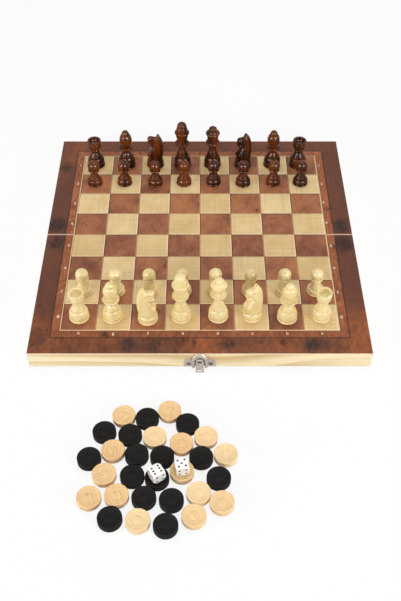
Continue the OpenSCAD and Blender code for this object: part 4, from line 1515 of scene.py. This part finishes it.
@dataclass
class Board:
    """The two trays with their faces, linings and printed coordinates."""

    plan: BoardPlan = PLAN
    letter_size: float = 0.0052
    letter_off: float = 0.1444
    letter_pitch: float = 0.03486
    letter_shift: float = 0.0005
    right_nudge: tuple[float, float] = (-0.001, 0.0018)
    ease: float = 0.00035
    text_lift: float = 0.00003

    def tray(self, half: Half) -> None:
        """Rails and panel with eased edges, and the finishes of the flat parts.

        Args:
            half: the half that the tray belongs to.
        """
        for part, finish in (
            ("outer_rail", PINE_LONG), ("hinge_rail", PINE_LONG),
            ("side_rails", PINE_SIDE), ("panel", PANEL_WOOD),
        ):
            node = f"{half.value}_{part}"
            piece = painted(eased(merged_copy(node, f"{node}_wood"), self.ease), finish)
            give(piece, half.body, "panel_board" if part == "panel" else "pine_rail", node)
        dress_solid(f"{half.value}_face_veneer", BURL)
        dress_solid(f"{half.value}_light_squares", LIGHT_SQUARE)
        dress_solid(f"{half.value}_lining", LINING)

    def label(self, text: str, x: float, y: float, turned: bool) -> bpy.types.Mesh:
        """One printed number or letter.

        Args:
            text: what it reads.
            x: its middle to the right, in metres.
            y: its middle to the back, in metres.
            turned: whether it reads from the other side.

        Returns:
            The label's mesh, in its place.
        """
        curve = bpy.data.curves.new(f"label_{text}", "FONT")
        curve.body = text
        curve.size = self.letter_size
        curve.align_x, curve.align_y = "CENTER", "CENTER"
        curve.extrude = 0.00001
        curve.offset = 0.00004
        curve.resolution_u = 3
        obj = bpy.data.objects.new(curve.name, curve)
        bpy.context.scene.collection.objects.link(obj)
        graph = bpy.context.evaluated_depsgraph_get()
        mesh = bpy.data.meshes.new_from_object(obj.evaluated_get(graph), depsgraph=graph)
        bpy.data.objects.remove(obj)
        bpy.data.curves.remove(curve)
        turn = Matrix.Rotation(math.pi if turned else 0.0, 4, "Z")
        mesh.transform(Matrix.Translation((x, y, self.plan.face_z + self.text_lift)) @ turn)
        return mesh

    def labels(self, half: Half) -> None:
        """The printed coordinates of one half, as one piece.

        Args:
            half: the half that carries them.
        """
        rows = range(4) if half is Half.REAR else range(4, 8)
        spots: list[tuple[str, float, float, bool]] = []
        for i in rows:
            y = (3.5 - i) * self.plan.square
            spots.append((str(i + 1), -self.letter_off, y, False))
            nudge = self.right_nudge if i in (2, 3) else (0.0, 0.0)
            spots.append((str(i + 1), self.letter_off + nudge[0], y + nudge[1], True))
        if half is Half.FRONT:
            spots += [
                (c, (i - 3.5) * self.letter_pitch + self.letter_shift, -self.letter_off, False)
                for i, c in enumerate("hgfedcba")
            ]
        work = bmesh.new()
        for spot in spots:
            mesh = self.label(*spot)
            work.from_mesh(mesh)
            bpy.data.meshes.remove(mesh)
        joined = bpy.data.meshes.new(f"{half.value}_labels")
        work.to_mesh(joined)
        work.free()
        give(painted(add_object(joined.name, joined), LABEL_WHITE), half.body, "burl_veneer")

    def build(self) -> None:
        """Makes both halves."""
        for half in Half:
            self.tray(half)
            self.labels(half)


@dataclass
class ScrewKind:
    """A screw with a cross recess, in millimetres."""

    head_r: float
    head_h: float
    domed: bool
    shank_r: float = 0.7
    length: float = 5.5
    slot: float = 0.42

    def profile(self) -> list[Point]:
        """The screw's outline: point, shank and head, along its axis."""
        thread: list[Point] = []
        turns = 9
        for i in range(turns):
            z = -self.length + 1.4 + (self.length - 2.2) * i / turns
            thread += [(self.shank_r * 0.78, z), (self.shank_r, z + 0.2)]
        low = 0.0 if self.domed else -self.head_h
        start = [(0, -self.length), (self.shank_r * 0.7, -self.length + 1.3)] + thread
        start.append((self.shank_r, low))
        if self.domed:
            return start + [(self.head_r - 0.08, 0)] + oval(0, 0, self.head_r, self.head_h, 6, 90, 10)
        return start + [(self.head_r, -0.05), (self.head_r - 0.05, 0), (0, 0)]

    def master(self, name: str, finish: Finish) -> bpy.types.Object:
        """One screw at the origin, its head up.

        Args:
            name: the screw's name.
            finish: its finish.

        Returns:
            The screw.
        """
        piece = turned_piece(name, self.profile(), Vector((0, 0, 0)), finish, 40)
        top = self.head_h if self.domed else 0.0
        cutter_mesh = bpy.data.meshes.new(f"{name}_cross")
        work = bmesh.new()
        for turn in (45, 135):
            made = bmesh.ops.create_cube(work, size=1.0)
            deep = max(self.head_h * 0.75, 0.35)
            size = Matrix.Diagonal((self.head_r * 1.15 * MM, self.slot * MM, 2 * deep * MM, 1.0))
            place = Matrix.Translation((0, 0, top * MM)) @ Matrix.Rotation(math.radians(turn), 4, "Z")
            bmesh.ops.transform(work, matrix=place @ size, verts=made["verts"])
        work.to_mesh(cutter_mesh)
        work.free()
        cutter = add_object(cutter_mesh.name, cutter_mesh)
        cut = piece.modifiers.new("cross", "BOOLEAN")
        cut.object = cutter
        cut.solver = "EXACT"
        cut.use_self = True
        piece.name = f"{name}_raw"
        done = painted(plain(piece, name), finish)
        drop(cutter)
        return done


def copies(
    name: str, piece: bpy.types.Object, places: Sequence[Vector], finish: Finish,
    turn: tuple[float, float, float] = (0, 0, 0), spins: Sequence[float] | None = None, seed: int = 1
) -> bpy.types.Object:
    """Copies of a piece on a list of places, as one plain mesh.

    Args:
        name: the result's name.
        piece: the piece to copy, which is removed.
        places: the places, in metres.
        finish: the finish of all of them.
        turn: a turn that all share, as Euler angles.
        spins: a turn about its own axis for each.
        seed: the seed of the tones.

    Returns:
        The object with all the copies.
    """
    points = from_lists(f"{name}_points", [tuple(c / MM for c in p) for p in places])
    spin = points.data.attributes.new("spin", "FLOAT", "POINT")
    for item, value in zip(spin.data, spins or [0.0] * len(places)):
        item.value = value
    values = {"Piece": piece, "Turn": turn, "Seed": seed, "Finish": finish.material()}
    made = copies_tree().run(points, name, values)
    drop(piece)
    return made


@dataclass
class Hinges:
    """The two butt hinges across the fold."""

    screw: ScrewKind = field(default_factory=lambda: ScrewKind(1.4, 0.5, False))

    def build(self) -> None:
        """Leaves with eased edges, and their screws."""
        for half in Half:
            node = f"{half.value}_hinge_leaves"
            piece = painted(eased(merged_copy(node, f"{node}_metal"), 0.00005), HINGE_BRASS)
            give(piece, half.body, "hinge_metal", node)
            node = f"{half.value}_hinge_screws"
            places = [Vector(((a.x + b.x) / 2, (a.y + b.y) / 2, 0.0)) for a, b in islands(node)]
            master = self.screw.master("hinge_screw", SCREW_STEEL)
            made = copies(
                f"{node}_set", master, places, SCREW_STEEL, (math.pi, 0, 0), [0.3, 1.1, 0.7, 0.1]
            )
            give(made, half.body, "screw_steel", node)
        dress_solid("hinge_pins", PIN_STEEL)


@dataclass
class Clasp:
    """The hasp, its arched plate and the catch."""

    screw: ScrewKind = field(default_factory=lambda: ScrewKind(2.0, 1.0, True))
    plate_t: float = 0.0008
    arch_z: float = 0.0102
    arch_r: float = 0.0049
    rib_w: float = 0.0024
    hood_x: float = 1.25
    hood_z: float = 2.05
    hood_slope: float = 0.8
    slack: float = 0.00005

    def screws(self, node: str, half: Half) -> None:
        """Domed screws on the outer face of a half.

        Args:
            node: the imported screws.
            half: the half they hold to.
        """
        face = half.sign * (PLAN.half_side + self.plate_t)
        places = [Vector(((a.x + b.x) / 2, face, (a.z + b.z) / 2)) for a, b in islands(node)]
        master = self.screw.master("domed_screw", SCREW_STEEL)
        turn = (math.radians(90 if half is Half.FRONT else -90), 0, 0)
        made = copies(f"{node}_set", master, places, SCREW_STEEL, turn, [0.5, 1.0])
        give(made, half.body, "screw_steel", node)

    def fuller_arch(self, piece: bpy.types.Object) -> None:
        """Grows the raised rib around the arch into a hood that slopes back to the panel's edge."""
        face = -PLAN.half_side - self.plate_t
        for vert in piece.data.vertices:
            x, z, off = vert.co.x, vert.co.z - self.arch_z, face - vert.co.y
            reach = math.hypot(x, max(0.0, z))
            if off < self.slack or reach < self.arch_r:
                continue
            past = reach - self.arch_r
            vert.co.x *= (self.arch_r + past * self.hood_x) / reach
            if z > 0:
                vert.co.z = self.arch_z + z * (self.arch_r + past * self.hood_z) / reach
                rise = z / reach
                vert.co.y = face - off * (1 - self.hood_slope * rise * min(1.0, past / self.rib_w))

    def build(self) -> None:
        """Plate, hasp, pin, catch and screws."""
        for node, body, slot, finish in (
            ("clasp_plate", "front_half", "clasp_nickel", CLASP_NICKEL),
            ("clasp_hasp", "clasp_hasp", "hasp_nickel", HASP_NICKEL),
            ("catch_plate", "rear_half", "clasp_nickel", CLASP_NICKEL),
        ):
            piece = merged_copy(node, f"{node}_metal")
            if node == "clasp_plate":
                self.fuller_arch(piece)
            give(painted(eased(piece, 0.00014, 3), finish), body, slot, node)
        dress_solid("clasp_pin", PIN_STEEL)
        self.screws("clasp_screws", Half.FRONT)
        self.screws("catch_screws", Half.REAR)


@dataclass
class Knight:
    """A carved horse's head on a turned stand, in millimetres, looking along -X."""

    height: float = 45.5
    half: float = 5.2
    stand_z: float = 10.8
    round_off: float = 3.2
    voxel: float = 0.42

    def outline(self) -> list[Point]:
        """The head's side view, from the chest round over the nose and the ears to the mane."""
        z, top = self.stand_z - 0.4, self.height - 4.0
        jaw = top - 12.6
        return (
            [(-7.2, z), (-7.5, z + 2.4), (-8.2, z + 4.8), (-9.0, z + 6.8)]
            + arc(-7.7, z + 8.6, 1.15, 185, 125, 4)
            + [(-6.2, z + 11.4), (-3.2, jaw - 2.3), (-2.4, jaw - 1.5), (-2.7, jaw - 0.7), (-3.9, jaw - 0.3)]
            + arc(-6.0, jaw + 1.9, 1.9, 255, 185, 6)
            + [(-8.0, jaw + 3.2), (-6.1, jaw + 3.5), (-6.0, jaw + 3.9), (-8.1, jaw + 4.2)]
            + arc(-4.9, top - 3.6, 3.4, 172, 88, 9)
            + [(-3.6, top - 0.3), (-1.2, top - 1.0), (1.4, top - 1.2), (2.4, top + 1.4)]
            + [(3.6, self.height - 0.3), (4.2, self.height)]
            + [(4.7, self.height - 0.6), (6.6, self.height - 3.8)]
            + [(8.1, self.height - 7.2), (9.1, self.height - 9.8), (9.8, self.height - 13)]
            + [(10.1, z + 14), (10.0, z + 9), (9.3, z + 4.8), (8.4, z)]
        )

    def taper(self, z: float) -> float:
        """The half thickness at a height."""
        rise = max(0.0, min(1.0, (z - self.stand_z) / (self.height - self.stand_z)))
        return self.half + 1.2 * (1 - rise) ** 3 - 3.4 * max(0.0, rise - 0.4)

    @staticmethod
    def to_edge(x: float, z: float, outline: Sequence[Point]) -> float:
        """The distance of a point of the side view from the outline.

        Args:
            x: the point's place along the side view.
            z: its height.
            outline: the side view.

        Returns:
            The shortest distance.
        """
        best = 1e9
        for (ax, az), (bx, bz) in zip(outline, outline[1:]):
            dx, dz = bx - ax, bz - az
            along = max(0.0, min(1.0, ((x - ax) * dx + (z - az) * dz) / (dx * dx + dz * dz + 1e-9)))
            best = min(best, math.hypot(x - ax - along * dx, z - az - along * dz))
        return best

    def carve(self, x: float, y: float, z: float) -> float:
        """How deep the carving is at a point of a cheek: eye, nostril, jaw line and mane.

        Args:
            x: the point's X, in millimetres.
            y: its Y; not used.
            z: its Z.

        Returns:
            The depth to push the surface in by; a negative one raises it.
        """
        top = self.height
        eye = math.hypot(x + 3.0, z - (top - 8.6))
        depth = 0.75 * max(0.0, 1 - eye / 1.7) ** 0.5 if eye < 1.7 else 0.0
        depth -= 0.55 * max(0.0, 1 - eye / 0.9)
        nostril = math.hypot(x + 8.2, z - (top - 10.2))
        depth += 0.5 * max(0.0, 1 - nostril / 0.9)
        cheek = math.hypot((x + 2.0) / 3.6, (z - (top - 13.2)) / 3.4)
        depth += 0.45 * math.exp(-(((cheek - 1.0) / 0.22) ** 2)) - 0.35 * max(0.0, 1 - cheek)
        crest = math.hypot(x - 0.2, z - (top - 16.0))
        if x > 1.5 and z > self.stand_z + 3:
            wave = math.sin(math.atan2(z - (top - 18.0), x + 1.0) * 22 + 0.25 * crest)
            depth += 0.32 * max(0.0, wave) * min(1.0, max(0.0, (x - 3.0) / 2.5))
        return depth

    def head(self, name: str) -> bpy.types.Object:
        """The carved head as a closed mesh at the origin.

        Args:
            name: the mesh's name.

        Returns:
            The head.
        """
        outline = self.outline()
        count = len(outline)
        deep = self.half + 1.2
        points = [(x, -deep, z) for x, z in outline] + [(x, deep, z) for x, z in outline]
        sides = [(i, (i + 1) % count, count + (i + 1) % count, count + i) for i in range(count)]
        caps = [tuple(range(count)), tuple(range(2 * count - 1, count - 1, -1))]
        obj = from_lists(f"{name}_block", points, (), sides + caps)
        remesh = obj.modifiers.new("voxels", "REMESH")
        remesh.mode = "VOXEL"
        remesh.voxel_size = self.voxel * MM
        obj = plain(obj, name)
        work = bmesh.new()
        work.from_mesh(obj.data)
        for vert in work.verts:
            x, y, z = (c / MM for c in vert.co)
            away = min(self.to_edge(x, z, outline), self.round_off)
            bow = self.round_off - math.sqrt(self.round_off**2 - (self.round_off - away) ** 2)
            wide = max(0.6, self.taper(z) - bow * 0.9)
            share = y / deep
            flat = abs(share) > 0.6
            new_y = wide * share - (math.copysign(self.carve(x, y, z), y) if flat else 0.0)
            ears = self.height - 5.6
            if z > ears and x > 0.8:
                split = max(0.0, 1 - abs(new_y) / 1.3)
                z -= split * (z - ears) * 0.85
            vert.co = Vector((x, new_y, z)) * MM
        for _ in range(3):
            bmesh.ops.smooth_vert(
                work, verts=work.verts, factor=0.5, use_axis_x=True, use_axis_y=True, use_axis_z=True
            )
        work.to_mesh(obj.data)
        work.free()
        obj.data.shade_smooth()
        return obj

    def build(self, name: str, place: Vector, turn: float, finish: Finish) -> bpy.types.Object:
        """The whole knight in its place.

        Args:
            name: the piece's name.
            place: the middle of its foot, in metres.
            turn: its turn about the vertical, in degrees.
            finish: its finish.

        Returns:
            The piece as one plain mesh.
        """
        lower = SIZES.stand(SIZES.man_r, 8.2, self.stand_z - 0.3, SIZES.bulge_r, SIZES.bulge_r, 1.0)
        rim = [(8.8, self.stand_z - 0.3), (8.8, self.stand_z - 0.1), (8.4, self.stand_z), (0, self.stand_z)]
        stand = turned_piece(f"{name}_stand", lower + rim, Vector((0, 0, 0)), finish)
        head = self.head(f"{name}_head")
        work = bmesh.new()
        work.from_mesh(stand.data)
        work.from_mesh(head.data)
        mesh = bpy.data.meshes.new(name)
        work.to_mesh(mesh)
        work.free()
        drop(stand)
        drop(head)
        mesh.transform(Matrix.Translation(place) @ Matrix.Rotation(math.radians(turn), 4, "Z"))
        mesh.shade_smooth()
        mesh.set_sharp_from_angle(angle=math.radians(48))
        return painted(add_object(name, mesh), finish)


@dataclass
class ChessSet:
    """The thirty-two men in their places."""

    row: tuple[str, ...] = (
        "rook_left", "bishop_left", "knight_left", "king",
        "queen", "knight_right", "bishop_right", "rook_right",
    )
    knight_turn: float = 34.0
    knight: Knight = field(default_factory=Knight)

    def profile(self, kind: str) -> list[Point]:
        """The profile of a turned man."""
        makers: dict[str, Callable[[], list[Point]]] = {
            "king": king_profile, "queen": queen_profile, "bishop": bishop_profile,
            "rook": rook_profile, "pawn": pawn_profile,
        }
        return makers[kind]()

    @staticmethod
    def place(node: str) -> Vector:
        """Where a man stands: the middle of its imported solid's foot disc.

        Args:
            node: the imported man.

        Returns:
            The place on the board's face.
        """
        points = [v.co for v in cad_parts[node].data.vertices]
        low = min(p.z for p in points)
        foot = [p for p in points if p.z < low + 1.5 * MM]
        xs, ys = [p.x for p in foot], [p.y for p in foot]
        return Vector(((min(xs) + max(xs)) / 2, (min(ys) + max(ys)) / 2, low))

    def turn(self, side: Side, name: str) -> float:
        """The turn of a knight, in degrees."""
        if name.endswith("right"):
            return self.knight_turn
        return 180.0 if side is Side.LIGHT else 0.0

    def build(self) -> None:
        """Makes both sets."""
        for side in Side:
            finish = LIGHT_MAN if side is Side.LIGHT else DARK_MAN
            for name in self.row:
                node = f"{side.value}_{name}"
                place = self.place(node)
                kind = name.split("_")[0]
                if kind == "knight":
                    piece = self.knight.build(f"{node}_man", place, self.turn(side, name), finish)
                else:
                    piece = turned_piece(f"{node}_man", self.profile(kind), place, finish)
                give(piece, node, f"{side.value}_man", node)
            for i in range(8):
                node = f"{side.value}_pawn_{i + 1}"
                piece = turned_piece(f"{node}_man", self.profile("pawn"), self.place(node), finish)
                give(piece, node, f"{side.value}_man", node)


@dataclass
class Draughts:
    """The loose draughts of both colours, in millimetres."""

    radius: float = 11.0
    thick: float = 7.0
    bevel: float = 0.6
    rim: float = 1.7
    dish: float = 0.45

    def profile(self) -> list[Point]:
        """A disc with a rounded edge and a dished face within a rim, the same on both sides."""
        r, t, b, d = self.radius, self.thick, self.bevel, self.dish
        inner = r - self.rim
        under = [(0, d), (inner - 1.2, d), (inner - 0.3, d * 0.6), (inner, 0.02), (r - b - 0.2, 0)]
        side = arc(r - b, b, b, -90, 0, 5) + [(r, t / 2)] + arc(r - b, t - b, b, 0, 90, 5)
        over = [(r - b - 0.2, t), (inner, t - 0.02), (inner - 0.3, t - d * 0.6), (inner - 1.2, t - d)]
        mid = inner * 0.5
        groove = [(mid + 0.3, t - d), (mid, t - d - 0.15), (mid - 0.3, t - d), (0, t - d)]
        return under + side + over + groove

    def build(self) -> None:
        """Makes both colours, standing where the solids stand."""
        for seed, (node, finish) in enumerate((("natural_draughts", NATURAL), ("black_draughts", BLACK))):
            master = turned_piece("draught", self.profile(), Vector((0, 0, 0)), finish, 64)
            places = [Vector(((a.x + b.x) / 2, (a.y + b.y) / 2, a.z)) for a, b in islands(node)]
            made = copies(f"{node}_set", master, places, finish, seed=seed + 3)
            give(made, node, node[:-1], node)


@dataclass
class Dice:
    """The two dice, in millimetres."""

    edge: float = 12.0
    ball: float = 1.48
    corner: float = 0.5
    pip_r: float = 1.1
    pip_step: float = 0.26
    tops: tuple[int, int] = (6, 5)
    turns: tuple[float, float] = (32.0, 12.0)

    def spots(self, count: int) -> list[Point]:
        """The pips of one face, as shares of the pip step.

        Args:
            count: the face's number.

        Returns:
            The places from the face's middle.
        """
        found: list[Point] = [(0, 0)] if count % 2 else []
        if count > 1:
            found += [(-1, -1), (1, 1)]
        if count > 3:
            found += [(-1, 1), (1, -1)]
        if count == 6:
            found += [(-1, 0), (1, 0)]
        return found

    def faces(self, top: int) -> list[tuple[int, Matrix]]:
        """The number on each face, and the turn that takes the top face there.

        Args:
            top: the number on top.

        Returns:
            Six numbers with their turns.
        """
        side = 2 if top in (1, 6) else 6
        end = 5 if top in (3, 4) else 3
        found = [(top, Matrix.Identity(4)), (7 - top, Matrix.Rotation(math.pi, 4, "X"))]
        for k, count in enumerate((side, end, 7 - side, 7 - end)):
            aside = Matrix.Rotation(k * math.pi / 2, 4, "Z")
            found.append((count, aside @ Matrix.Rotation(math.pi / 2, 4, "Y")))
        return found

    def body(self, name: str) -> bpy.types.Object:
        """A cube with rounded edges, its corners cut by a ball.

        Args:
            name: the cube's name.

        Returns:
            The cube.
        """
        half = self.edge / 2
        work = bmesh.new()
        bmesh.ops.create_cube(work, size=self.edge * MM)
        bmesh.ops.subdivide_edges(work, edges=work.edges, cuts=23, use_grid_fill=True)
        for vert in work.verts:
            p = vert.co / MM
            inner = Vector([max(-(half - self.corner), min(half - self.corner, c)) for c in p])
            away = p - inner
            if away.length > 1e-6:
                p = inner + away.normalized() * self.corner
            limit = half * self.ball
            if p.length > limit:
                p = p.normalized() * limit
            vert.co = p * MM
        mesh = bpy.data.meshes.new(name)
        work.to_mesh(mesh)
        work.free()
        return painted(add_object(name, mesh), DIE_WHITE)

    def pips(self, name: str, top: int) -> bpy.types.Object:
        """Balls that cut the pips, in the dark finish.

        Args:
            name: the balls' name.
            top: the number on top.

        Returns:
            The balls as one object.
        """
        half = self.edge / 2
        places: list[Vector] = []
        for count, turn in self.faces(top):
            for u, v in self.spots(count):
                step = self.edge * self.pip_step
                places.append(turn @ Vector((u * step, v * step, half + 0.75)) * MM)
        work = bmesh.new()
        bmesh.ops.create_icosphere(work, subdivisions=3, radius=math.hypot(self.pip_r, 0.75) * MM)
        mesh = bpy.data.meshes.new(f"{name}_ball")
        work.to_mesh(mesh)
        work.free()
        return copies(name, add_object(mesh.name, mesh), places, PIP_BLACK)

    def build(self) -> None:
        """Makes both dice, lying where the solids lie."""
        boxes = sorted(islands("dice"), key=lambda b: b[0].x)
        centres = [(a + b) / 2 for a, b in boxes]
        work = bmesh.new()
        for centre in centres:
            near_black = self.on_black(centre)
            top, turn = (self.tops[0], self.turns[0]) if near_black else (self.tops[1], self.turns[1])
            body = self.body("die_block")
            cutter = self.pips("die_pips", top)
            cut = body.modifiers.new("pips", "BOOLEAN")
            cut.object = cutter
            cut.solver = "EXACT"
            cut.material_mode = "TRANSFER"
            done = plain(body, "die_cut")
            done.data.transform(Matrix.Translation(centre) @ Matrix.Rotation(math.radians(turn), 4, "Z"))
            work.from_mesh(done.data)
            drop(done)
            drop(cutter)
        mesh = bpy.data.meshes.new("dice_pair")
        work.to_mesh(mesh)
        work.free()
        for finish in (DIE_WHITE, PIP_BLACK):
            mesh.materials.append(finish.material())
        pair = add_object("dice_pair", mesh)
        mesh.shade_smooth()
        mesh.set_sharp_from_angle(angle=math.radians(32))
        give(pair, "dice", "dice_plastic", "dice")

    @staticmethod
    def on_black(centre: Vector) -> bool:
        """Whether a die lies on a black draught."""
        return any(
            math.hypot((a.x + b.x) / 2 - centre.x, (a.y + b.y) / 2 - centre.y) < 0.002
            for a, b in islands("black_draughts")
        )


@dataclass
class Studio:
    """Camera, lamps, backdrop and floor."""

    camera_place: tuple[float, float, float] = (0.0007, -0.69458, 0.66984)
    pitch: float = 42.485
    lens: float = 50.897
    floor_z: float = -0.00112
    world_level: float = 0.5
    lamps: tuple[tuple[str, tuple[float, float, float], float, float], ...] = (
        ("left_softbox", (-1.15, -0.62, 0.3), 0.3, 9.0),
        ("right_softbox", (1.0, -0.95, 0.42), 0.3, 9.0),
        ("top_softbox", (0.1, 0.35, 1.6), 0.9, 10.0),
    )
    glints: tuple[tuple[str, tuple[float, float, float], float, float], ...] = (
        ("left_glint", (-0.9, -1.0, 0.75), 0.34, 32.0),
        ("right_glint", (0.85, -1.0, 0.75), 0.34, 32.0),
    )

    def camera(self) -> None:
        """The camera at the viewing angle of the photograph."""
        data = bpy.data.cameras.new("camera")
        data.lens = self.lens
        data.sensor_width = 36.0
        data.clip_start, data.clip_end = 0.01, 20.0
        obj = bpy.data.objects.new("camera", data)
        obj.location = self.camera_place
        obj.rotation_euler = (math.radians(self.pitch), 0.0, 0.0)
        bpy.context.scene.collection.objects.link(obj)
        bpy.context.scene.camera = obj

    @staticmethod
    def lamp(name: str, place: tuple[float, float, float], size: float, power: float) -> bpy.types.Object:
        """A square softbox that looks at the board's middle.

        Args:
            name: the lamp's name.
            place: where it stands.
            size: its side.
            power: its power in watts.

        Returns:
            The lamp.
        """
        data = bpy.data.lights.new(name, "AREA")
        data.shape = "SQUARE"
        data.size = size
        data.energy = power
        obj = bpy.data.objects.new(name, data)
        obj.location = place
        obj.rotation_mode = "QUATERNION"
        obj.rotation_quaternion = (-Vector(place)).to_track_quat("-Z", "Y")
        bpy.context.scene.collection.objects.link(obj)
        return obj

    def light(self) -> None:
        """Softboxes and a pale world that shows white to the camera and in reflections."""
        for name, place, size, power in self.lamps:
            self.lamp(name, place, size, power)
        for name, place, size, power in self.glints:
            self.lamp(name, place, size, power).visible_diffuse = False
        world = bpy.data.worlds.new("studio")
        bpy.context.scene.world = world
        world.use_nodes = True
        world.node_tree.nodes.clear()
        t = Tree(world.node_tree)
        path = t.add("ShaderNodeLightPath").outputs
        seen = t.math("MAXIMUM", path["Is Camera Ray"], path["Is Transmission Ray"])
        seen = t.math("MAXIMUM", seen, path["Is Glossy Ray"])
        level = t.math("MULTIPLY_ADD", seen, 1.0 - self.world_level, self.world_level)
        glow = t.add("ShaderNodeBackground", {"Color": (1.0, 1.0, 1.0, 1.0), "Strength": level})
        out = t.add("ShaderNodeOutputWorld")
        t.feed(out.inputs["Surface"], glow.outputs[0])

    def floor(self) -> None:
        """A pale floor that shows white but keeps the object's shadow."""
        half = 4000.0
        corners = [(-half, -half, 0), (half, -half, 0), (half, half, 0), (-half, half, 0)]
        obj = from_lists("floor", corners, (), [(0, 1, 2, 3)])
        obj.data.transform(Matrix.Translation((0, 0, self.floor_z)))
        made = bpy.data.materials.new("floor_paper")
        made.use_nodes = True
        made.node_tree.nodes.clear()
        t = Tree(made.node_tree)
        grey = t.add("ShaderNodeBsdfDiffuse", {"Color": (0.86, 0.86, 0.86, 1.0)})
        glow = t.add("ShaderNodeEmission", {"Color": (1.0, 1.0, 1.0, 1.0), "Strength": 1.0})
        path = t.add("ShaderNodeLightPath").outputs
        seen = t.math("MAXIMUM", path["Is Camera Ray"], path["Is Transmission Ray"])
        seen = t.math("MULTIPLY", t.math("MAXIMUM", seen, path["Is Glossy Ray"]), 0.82)
        both = t.add("ShaderNodeMixShader", {0: seen, 1: grey.outputs[0], 2: glow.outputs[0]})
        out = t.add("ShaderNodeOutputMaterial")
        t.feed(out.inputs["Surface"], both.outputs[0])
        obj.data.materials.append(made)

    def build(self) -> None:
        """Makes the whole studio."""
        bpy.context.scene.view_settings.view_transform = "Standard"
        self.camera()
        self.light()
        self.floor()


def main() -> None:
    """Builds the classes in order."""
    logging.basicConfig(level=logging.INFO, format="%(name)s: %(message)s")
    for part in (Studio(), Board(), Hinges(), Clasp(), ChessSet(), Draughts(), Dice()):
        part.build()
        LOG.info("%s done", type(part).__name__)


if __name__ == "__main__":
    main()
